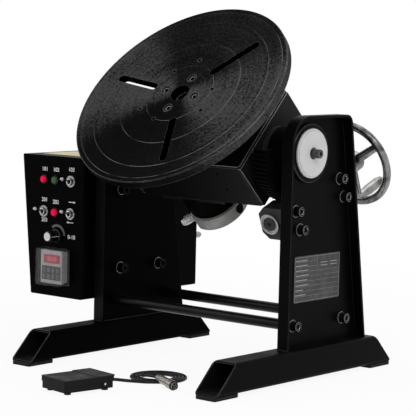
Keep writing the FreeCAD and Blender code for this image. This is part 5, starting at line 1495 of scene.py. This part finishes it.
@dataclass
class ControlBox(Assembly):
    """Control box, its panel with switches, knob and timer."""

    switches: tuple[str, ...] = ("toggle_power", "toggle_mode", "toggle_direction")
    mark: float = 0.10 * MM
    label_tall: float = 10.0 * MM
    label_rise: float = 18.3 * MM
    knob_label: float = 36.0 * MM
    arrow_long: float = 12.0 * MM
    arrow_thick: float = 1.3 * MM
    head_steps: Steps = ((2.3, 0.0), (0.05, 4.8))
    head_flat: float = 0.025
    cap_steps: Steps = ((7.6, 0.0), (7.6, 0.35), (6.4, 0.7))
    pointer: Place = (1.0 * MM, 21.0 * MM, 0.9 * MM)
    pointer_out: float = 10.3 * MM
    pointer_in: float = 12.0 * MM
    scale_round: float = 18.5 * MM
    scale_width: float = 4.6 * MM
    scale_from: float = 130.0
    scale_sweep: float = 125.0
    nut_swell: float = 1.22
    nut_near: float = 12.0 * MM
    tip: float = 5.0 * MM
    back_in: float = 5.5 * MM
    back_zone: float = 30.0 * MM
    socket_long: float = 1.4
    bezel: Place = (52.5 * MM, 59.5 * MM, 8.0 * MM)
    bezel_sunk: float = 0.2 * MM
    display: Place = (0.75 * 52.5 * MM, 1.2 * MM, 15.5 * MM)
    display_at: tuple[float, float] = (2.0 * MM, 14.5 * MM)
    digit_tall: float = 12.0 * MM
    digit_lift: float = 0.66 * MM
    key_field: Place = (0.88 * 52.5 * MM, 0.9 * MM, 25.0 * MM)
    key_field_at: tuple[float, float] = (0.5 * MM, -11.0 * MM)
    key: Place = (7.6 * MM, 1.4 * MM, 8.8 * MM)
    key_lift: float = 0.8 * MM
    key_top: float = -5.3 * MM
    key_pitch: tuple[float, float] = (11.0 * MM, 11.4 * MM)
    film: Place = (118.0 * MM, 240.0 * MM, 0.25 * MM)
    film_at: float = 150.0 * MM
    upright: Place = (math.pi / 2, 0.0, 0.0)

    @property
    def face(self) -> float:
        """Return where the panel's face stands along Y."""
        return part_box("box_panel")[0].y

    def build(self) -> None:
        """Dress the box and lay out its panel."""
        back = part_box("box_shell")[1].y
        self.edge_broken("box_shell", Paint.BOX, "black_paint", 0.5 * MM, glint_and_wear=Paint.EDGE,
                         reshape=lambda piece: Bench.drawn_in(
                             piece, lambda co: co.y > back - self.back_zone, (0.0, 0.0, 0.0),
                             (1.0, 1.0 - self.back_in / back, 1.0)))
        self.edge_broken("box_panel", Paint.BOX, "black_paint", 0.4 * MM)
        self.coat(Paint.BOARD, "control_board")
        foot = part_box("rear_socket")[0]
        self.edge_broken("rear_socket", Paint.SOCKET, "black_plastic", 0.4 * MM,
                         reshape=lambda piece: Bench.drawn_in(
                             piece, lambda co: True, tuple(foot), (1.0, self.socket_long, 1.0)))
        self.coat(Paint.SWITCH, "toggle_bushes")
        for name in self.switches:
            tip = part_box(name)[0].y + self.tip
            lever = self.edge_broken(name, Paint.LEVER, "chrome", 0.0)
            self.shop.patch(lever, Paint.CAP, lambda face, tip=tip: face.center.y < tip)
        self.dress_nuts()
        # The lock and reset buttons glow like the pilot lamp, though they are no lamps: painted light.
        self.coat(Paint.RED, "pilot_lamp", "lock_button")
        self.coat(Paint.GREEN, "reset_button")
        self.label_controls()
        self.draw_arrows()
        self.dress_knob()
        self.dress_timer()
        self.lay_film()

    def dress_nuts(self) -> None:
        """Dress the nuts: pale and broad round the switches, black round the lamp and buttons."""
        beside = ("pilot_lamp", "lock_button", "lock_button")
        places = [(self.middle(name).x, self.middle(level).z)
                  for name, level in zip(self.switches, beside, strict=True)]

        def swell(piece: bpy.types.Object) -> None:
            """Broaden the nuts round the switches."""
            for x, z in places:
                Bench.drawn_in(
                    piece, lambda co, x=x, z=z: math.hypot(co.x - x, co.z - z) < self.nut_near,
                    (x, 0.0, z), (self.nut_swell, 1.0, self.nut_swell))

        def far(face: bpy.types.MeshPolygon) -> bool:
            """Tell whether a face is away from the switches."""
            return min(math.hypot(face.center.x - x, face.center.z - z)
                       for x, z in places) > self.nut_near

        piece = self.edge_broken("panel_nuts", Paint.SWITCH, "chrome", 0.3 * MM, reshape=swell)
        self.shop.patch(piece, Paint.PLASTIC, far)

    def on_panel(self, x: float, z: float) -> Place:
        """Return a place on the panel's face."""
        return (x, self.face - self.mark / 2, z)

    def label_controls(self) -> None:
        """Number the controls with plain figures."""
        rows = (
            ("pilot_lamp", "101", 1.0), ("reset_button", "102", 1.0), ("toggle_power", "103", 1.0),
            ("toggle_mode", "201", 1.0), ("lock_button", "202", 1.0), ("toggle_mode", "203", -1.0),
        )
        labels = []
        for node, words, side in rows:
            place = self.middle(node)
            rise = place.z + side * self.label_rise
            labels.append(Bench.figure(f"label_{words}", words, self.label_tall,
                                       self.on_panel(place.x, rise), self.upright))
        knob = self.middle("speed_knob")
        labels.append(Bench.figure("label_speed", "0-10", self.label_tall,
                                   self.on_panel(knob.x + self.knob_label, knob.z), self.upright))
        piece = Bench.joined("panel_figures", labels)
        self.add(piece, Paint.WHITE, "stand", "plate_silver")

    def draw_arrows(self) -> None:
        """Print the two turning arrows above and below the direction switch."""
        place = self.middle("toggle_direction")
        marks = []
        for rise, way in ((self.label_rise, 1.0), (-self.label_rise, -1.0)):
            shaft = Bench.block("shaft", (self.arrow_long, self.mark, self.arrow_thick),
                                self.on_panel(place.x, place.z + rise))
            head = Bench.turned("head", in_mm(self.head_steps), (0, 0, 0), (0, way * math.pi / 2, 0),
                                sides=3)
            Bench.only(head)
            head.scale = (1.0, self.head_flat, 1.0)
            bpy.ops.object.transform_apply(location=False, rotation=False, scale=True)
            Bench.settle(head, "head", self.on_panel(place.x + way * self.arrow_long / 2, place.z + rise))
            marks += [shaft, head]
        piece = Bench.joined("turning_arrows", marks)
        self.add(piece, Paint.WHITE, "stand", "plate_silver")

    def dress_knob(self) -> None:
        """Add the knob's pale cap and pointer, and its scale on the panel."""
        self.coat(Paint.KNOB, "speed_knob")
        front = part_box("speed_knob")[0].y
        middle = self.middle("speed_knob")
        body = self.body_of("speed_knob")
        cap = Bench.turned("knob_cap", in_mm(self.cap_steps), (middle.x, front + self.mark, middle.z),
                           self.upright, sides=40, bevel=0.1 * MM)
        self.add(cap, Paint.CAP, body, "plate_silver")
        pointer = Bench.block(
            "knob_pointer", self.pointer,
            (middle.x + self.pointer_out, front + self.pointer_in, middle.z), bevel=0.15 * MM)
        self.add(pointer, Paint.WHITE, body, "plate_silver")
        scale = Bench.arc("speed_scale", self.scale_round, self.scale_width, self.mark, self.scale_from,
                          self.scale_sweep, self.on_panel(middle.x, middle.z), self.upright)
        self.add(scale, Paint.ARC, "stand", "plate_silver")

    def dress_timer(self) -> None:
        """Lay out the timer's face behind its clear hood."""
        self.coat(Paint.BEZEL, "timer_case")
        # The hood's bevels take the paler finish: painted highlight.
        self.edge_broken("timer_hood", Paint.HOOD, "clear_hood", 0.7 * MM,
                         glint_and_wear=Paint.HOOD_EDGE)
        middle = self.middle("timer_case")
        wide, tall, out = self.bezel
        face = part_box("timer_case")[0].y - out
        plate = Bench.block("timer_bezel", (wide, out, tall),
                            (middle.x, face + out / 2 + self.bezel_sunk, middle.z), bevel=1.2 * MM)
        self.add(plate, Paint.BEZEL, "stand", "black_plastic")
        side, rise = self.display_at
        display = Bench.block("timer_display", self.display,
                              (middle.x + side, face, middle.z + rise), bevel=0.4 * MM)
        self.add(display, Paint.DISPLAY, "stand", "red_plastic")
        digits = Bench.figure("timer_digits", "0000", self.digit_tall,
                              (middle.x + side, face - self.digit_lift, middle.z + rise), self.upright)
        self.add(digits, Paint.DIGIT, "stand", "red_plastic")
        side, rise = self.key_field_at
        field_plate = Bench.block("timer_key_field", self.key_field,
                                  (middle.x + side, face, middle.z + rise), bevel=0.3 * MM)
        self.add(field_plate, Paint.KEY_GAP, "stand", "black_plastic")
        across, down = self.key_pitch
        keys = [Bench.block("key", self.key, (middle.x + side + (column - 1.5) * across,
                                              face - self.key_lift,
                                              middle.z + self.key_top - row * down), bevel=0.5 * MM)
                for column in range(4) for row in range(2)]
        self.add(Bench.joined("timer_keys", keys), Paint.KEYS, "stand", "black_plastic")

    def lay_film(self) -> None:
        """Lay the printed film on the box's lid."""
        low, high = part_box("box_shell")
        film = Bench.block("lid_film", self.film,
                           ((low.x + high.x) / 2, low.y + self.film_at, high.z + self.mark),
                           bevel=0.05 * MM)
        self.add(film, Paint.FILM, "stand", "plate_silver")


@dataclass
class RatingPlate(Assembly):
    """The plate on the right column, with ruled lines and no words."""

    rule: float = 0.45 * MM
    border: float = 2.0 * MM
    lines: int = 9
    short_lines: int = 2
    lift: float = 0.04 * MM
    depth: float = 0.12 * MM
    dash: float = 1.5 * MM
    dash_in: float = 2.0 * MM
    dash_rise: float = 2.4 * MM
    dash_long: tuple[float, float] = (0.16, 0.3)
    cell: tuple[float, float] = (0.15, 1.3 * MM)

    def build(self) -> None:
        """Dress the plate and rule it."""
        self.coat(Paint.PLATE, "rating_plate")
        low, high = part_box("rating_plate")
        face = high.x + self.lift
        long = high.y - low.y - 2 * self.border
        tall = high.z - low.z - 2 * self.border
        left, top = low.y + self.border, high.z - self.border
        middle = (low + high) / 2
        rules = []

        def rule(name: str, wide: float, thick: float, y: float, z: float) -> None:
            """Add a printed bar at a place on the plate."""
            rules.append(Bench.block(name, (self.depth, wide, thick), (face, y, z)))

        for side in (-1, 1):
            rule("rule", long, self.rule, middle.y, middle.z + side * tall / 2)
            rule("rule", self.rule, tall, middle.y + side * long / 2, middle.z)
        chance = random.Random(5)
        for k in range(1, self.lines):
            rise = top - tall * k / self.lines
            wide = 0.5 * long if k <= self.short_lines else long
            rule("rule", wide, self.rule * 0.6, left + wide / 2, rise)
            dash = chance.uniform(*self.dash_long) * long
            rule("dash", dash, self.dash, left + self.dash_in + dash / 2, rise + self.dash_rise)
        rule("rule", self.rule * 0.6, tall * 3 / self.lines, middle.y, top - tall * 1.5 / self.lines)
        for row in range(2):
            for column in range(2):
                rule("dash", self.cell[0] * long, self.cell[1],
                     middle.y + (0.15 + 0.22 * column) * long, top - tall * (1.5 + row * 0.6) / self.lines)
        piece = Bench.joined("plate_rules", rules)
        self.add(piece, Paint.PLATE_LINE, "stand", "plate_silver")


@dataclass
class Pedal(Assembly):
    """Foot pedal with its treadle, cord and plug."""

    cord_round: float = 5.5 * MM
    exit: Place = (12.96 * MM, -282.17 * MM, 9.6 * MM)
    lead: tuple[Place, ...] = (
        (14.5, -262.0, 7.2), (18.0, -248.0, 4.4), (27.0, -237.5, 3.0), (40.0, -231.0, 3.0),
        (53.0, -225.7, 3.0),
    )
    tail: tuple[Place, ...] = (
        (10.2, -188.4, 3.0), (19.5, -197.8, 5.4), (31.6, -203.7, 8.7), (44.5, -207.7, 10.4),
        (57.3, -212.1, 11.6), (69.8, -217.1, 12.4),
    )
    coil_middle: Place = (36.0 * MM, -179.0 * MM, 3.0 * MM)
    coil_outer: float = 49.7 * MM
    coil_inner: float = 27.5 * MM
    coil_start: float = -70.0
    coil_turns: float = 3.75
    points_a_turn: int = 14
    base_swell: float = 1.05
    turn: float = math.radians(-10.0)
    upward: float = 0.4
    heel: float = 0.37
    heel_in: float = 0.8 * MM
    heel_thick: float = 2.4 * MM
    heel_rise: float = 0.2 * MM
    plug_to: Place = (127.3, -240.3, 8.2)
    insert: float = 9.0 * MM
    pins: int = 5
    pin_circle: float = 2.7 * MM
    pin_steps: Steps = ((0.55, -2.0), (0.55, 0.6), (0.25, 0.9))
    gland_steps: Steps = ((4.5, -15.0), (4.3, -8.0), (3.1, 0.0))
    on_cord: list[bpy.types.Object] = field(default_factory=list)

    def build(self) -> None:
        """Dress the pedal and lay its cord."""
        treadle = self.edge_broken("pedal_treadle", Paint.PEDAL, "black_paint", 0.6 * MM)
        self.shop.patch(treadle, Paint.PEDAL_BASE, lambda face: face.normal.z < self.upward)
        self.raise_heel()
        middle = tuple(self.middle("pedal_base"))
        self.edge_broken("pedal_base", Paint.PEDAL_BASE, "black_plastic", 0.4 * MM,
                         reshape=lambda piece: Bench.drawn_in(piece, lambda co: True, middle,
                                                              (self.base_swell, self.base_swell, 1.0)))
        self.coat(Paint.RUBBER, "pedal_feet")
        self.coat(Paint.CHROME, "pedal_pin")
        self.dress_plug()
        self.lay_cord()

    def raise_heel(self) -> None:
        """Add the raised heel plate on the treadle's back."""
        back = Matrix.Rotation(-self.turn, 3, "Z")
        seen = [back @ Vector(corner.co) for corner in self.node("pedal_treadle").data.vertices]
        low = Vector([min(place[k] for place in seen) for k in range(3)])
        high = Vector([max(place[k] for place in seen) for k in range(3)])
        long = (high.y - low.y) * self.heel
        middle = Vector(((low.x + high.x) / 2, high.y - long / 2, high.z + self.heel_rise))
        plate = Bench.block("treadle_heel", (high.x - low.x - self.heel_in, long, self.heel_thick),
                            tuple(back.inverted() @ middle), (0.0, 0.0, self.turn), bevel=0.5 * MM)
        self.add(plate, Paint.PEDAL, self.body_of("pedal_treadle"), "black_paint")

    def dress_plug(self) -> None:
        """Dress the plug: ridged nickel, with a black insert and its pins at the open end."""
        self.coat(Paint.NICKEL, "plug_nut")
        start = Vector(self.tail[-1]) * MM
        way = (Vector(self.plug_to) - Vector(self.tail[-1])).normalized()
        end = max((Vector(corner.co) - start).dot(way) for corner in self.node("plug_shell").data.vertices)
        shell = self.edge_broken("plug_shell", Paint.NICKEL, "steel", 0.3 * MM)
        self.shop.patch(shell, Paint.PLASTIC,
                        lambda face: (Vector(face.center) - start).dot(way) > end - self.insert)
        pins = []
        for k in range(self.pins):
            angle = math.radians(360.0 / self.pins * k)
            side = Vector((math.cos(angle), math.sin(angle), 0.0)) * self.pin_circle
            place = start + way * end + way.to_track_quat("Z", "Y") @ side
            pins.append(Bench.turned("pin", in_mm(self.pin_steps), tuple(place), facing_along(way),
                                     sides=12))
        piece = Bench.joined("plug_pins", pins)
        self.add(piece, Paint.CHROME, self.body_of("plug_shell"), "steel")
        self.on_cord = [shell, piece, self.node("plug_nut")]

    def route(self) -> list[Vector]:
        """Lay out the cord's route from the strain relief to the plug.

        Returns:
            The control points of its line.
        """
        points = [Vector(self.exit)]
        points += [Vector(place) * MM for place in self.lead]
        count = int(self.coil_turns * self.points_a_turn)
        for k in range(2, count - 1):
            share = k / count
            angle = math.radians(self.coil_start + 360.0 * self.coil_turns * share)
            radius = self.coil_outer + (self.coil_inner - self.coil_outer) * share
            points.append(Vector(self.coil_middle)
                          + Vector((radius * math.cos(angle), radius * math.sin(angle), 0.0)))
        points += [Vector(place) * MM for place in self.tail]
        return points

    def lay_cord(self) -> None:
        points = self.route()
        line = bpy.data.curves.new("pedal_lead", "CURVE")
        line.dimensions = "3D"
        spline = line.splines.new("NURBS")
        spline.points.add(len(points) - 1)
        for knot, place in zip(spline.points, points, strict=True):
            knot.co = (*place, 1.0)
        spline.order_u = 3
        spline.use_endpoint_u = True
        line.bevel_depth = self.cord_round / 2
        line.bevel_resolution = 4
        line.resolution_u = 5
        line.use_fill_caps = True
        cord = bpy.data.objects.new("pedal_lead", line)
        bpy.context.scene.collection.objects.link(cord)
        self.shop.coat(cord, Paint.CORD)
        body = self.body_of("pedal_cord")
        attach(cord, body)
        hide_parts("pedal_cord", "cord_coil")
        out = Vector(self.lead[0]) * MM - Vector(self.exit)
        relief = Bench.turned("pedal_gland", in_mm(self.gland_steps), self.exit, facing_along(out),
                              sides=24, bevel=0.3 * MM)
        self.add(relief, Paint.RUBBER, body, "rubber")


@dataclass
class Studio:
    """Floor, backdrop light and camera."""

    eye: Place = (2.0463, -2.4808, 0.5884)
    aim: Place = (-0.01239, 0.0, 0.27097)
    roll: float = 1.36
    lens: float = 161.08
    sensor: float = 36.0
    sky: float = 0.60
    lamps: tuple[tuple[str, Place, float, float], ...] = (
        ("key_light", (2.4, -1.5, 2.4), 1.8, 30.0),
        ("fill_light", (-1.9, -2.0, 1.7), 1.8, 12.0),
        ("top_light", (0.2, 0.9, 2.8), 2.0, 16.0),
    )
    floor_size: float = 400.0
    floor_drop: float = 0.2 * MM
    floor_colour: Colour = (0.86, 0.86, 0.86)
    floor_near: float = 0.92
    floor_fade: tuple[float, float] = (0.5, 1.9)

    def build(self) -> None:
        """Set up the stage."""
        self.place_camera()
        self.light_world()
        self.hang_lamps()
        self.lay_floor()
        bpy.context.scene.view_settings.view_transform = "Standard"

    def place_camera(self) -> None:
        """Stand the camera at its viewing angle."""
        data = bpy.data.cameras.new("camera")
        data.lens = self.lens
        data.sensor_width = self.sensor
        camera = bpy.data.objects.new("camera", data)
        bpy.context.scene.collection.objects.link(camera)
        view = Vector(self.aim) - Vector(self.eye)
        turn = view.to_track_quat("-Z", "Y").to_matrix()
        camera.matrix_world = Matrix.Translation(Vector(self.eye)) @ (
            turn @ Matrix.Rotation(math.radians(self.roll), 3, "Z")).to_4x4()
        bpy.context.scene.camera = camera

    def light_world(self) -> None:
        """Light the scene evenly, with white wherever the eye or a mirror looks."""
        world = bpy.data.worlds.new("white_room")
        world.use_nodes = True
        tree = world.node_tree
        background = tree.nodes["Background"]
        path = tree.nodes.new("ShaderNodeLightPath")
        seen = path.outputs["Is Camera Ray"]
        for ray in ("Is Glossy Ray", "Is Transmission Ray"):
            either = tree.nodes.new("ShaderNodeMath")
            either.operation = "MAXIMUM"
            tree.links.new(seen, either.inputs[0])
            tree.links.new(path.outputs[ray], either.inputs[1])
            seen = either.outputs[0]
        level = tree.nodes.new("ShaderNodeMapRange")
        tree.links.new(seen, level.inputs["Value"])
        level.inputs["To Min"].default_value = self.sky
        level.inputs["To Max"].default_value = 1.0
        tree.links.new(level.outputs["Result"], background.inputs["Strength"])
        background.inputs["Color"].default_value = (1.0, 1.0, 1.0, 1.0)
        bpy.context.scene.world = world

    def hang_lamps(self) -> None:
        """Hang broad soft lamps that look at the object."""
        for name, place, size, power in self.lamps:
            data = bpy.data.lights.new(name, "AREA")
            data.shape = "DISK"
            data.size = size
            data.energy = power
            lamp = bpy.data.objects.new(name, data)
            bpy.context.scene.collection.objects.link(lamp)
            lamp.location = Vector(place)
            lamp.rotation_euler = (Vector(self.aim) - Vector(place)).to_track_quat("-Z", "Y").to_euler()

    def lay_floor(self) -> None:
        """Lay a white floor that keeps a soft shadow."""
        bpy.ops.object.select_all(action="DESELECT")
        bpy.ops.mesh.primitive_plane_add(size=self.floor_size, location=(0, 0, -self.floor_drop))
        floor = bpy.context.active_object
        floor.name = "floor"
        tree = Tree("white_floor")
        diffuse = tree.add("ShaderNodeBsdfDiffuse", {}, {"Color": self.floor_colour})
        white = tree.add("ShaderNodeEmission", {}, {"Color": (1.0, 1.0, 1.0), "Strength": 1.0})
        path = tree.add("ShaderNodeLightPath", {}, {})
        seen = Wire(tree, path.outputs["Is Camera Ray"])
        for ray in ("Is Glossy Ray", "Is Transmission Ray"):
            seen = seen.largest(Wire(tree, path.outputs[ray]))
        away = tree.measured("LENGTH", tree.place())
        seen = seen * away.between(*self.floor_fade, self.floor_near, 1.0)
        mix = tree.add("ShaderNodeMixShader", {}, {0: seen})
        link = tree.material.node_tree.links.new
        link(diffuse.outputs[0], mix.inputs[1])
        link(white.outputs[0], mix.inputs[2])
        link(mix.outputs[0], tree.output.inputs["Surface"])
        floor.data.materials.append(tree.material)


def main() -> None:
    """Build every sub-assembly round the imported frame."""
    logging.basicConfig(level=logging.INFO, format="%(name)s %(message)s")
    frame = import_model()
    Studio().build()
    shop = PaintShop()
    for kind in (Pedal, Stand, TiltAxis, Carriage, WormDrive, Table, ControlBox, RatingPlate):
        LOG.info("%s", kind.__name__)
        kind(frame, shop).build()


if __name__ == "__main__":
    main()
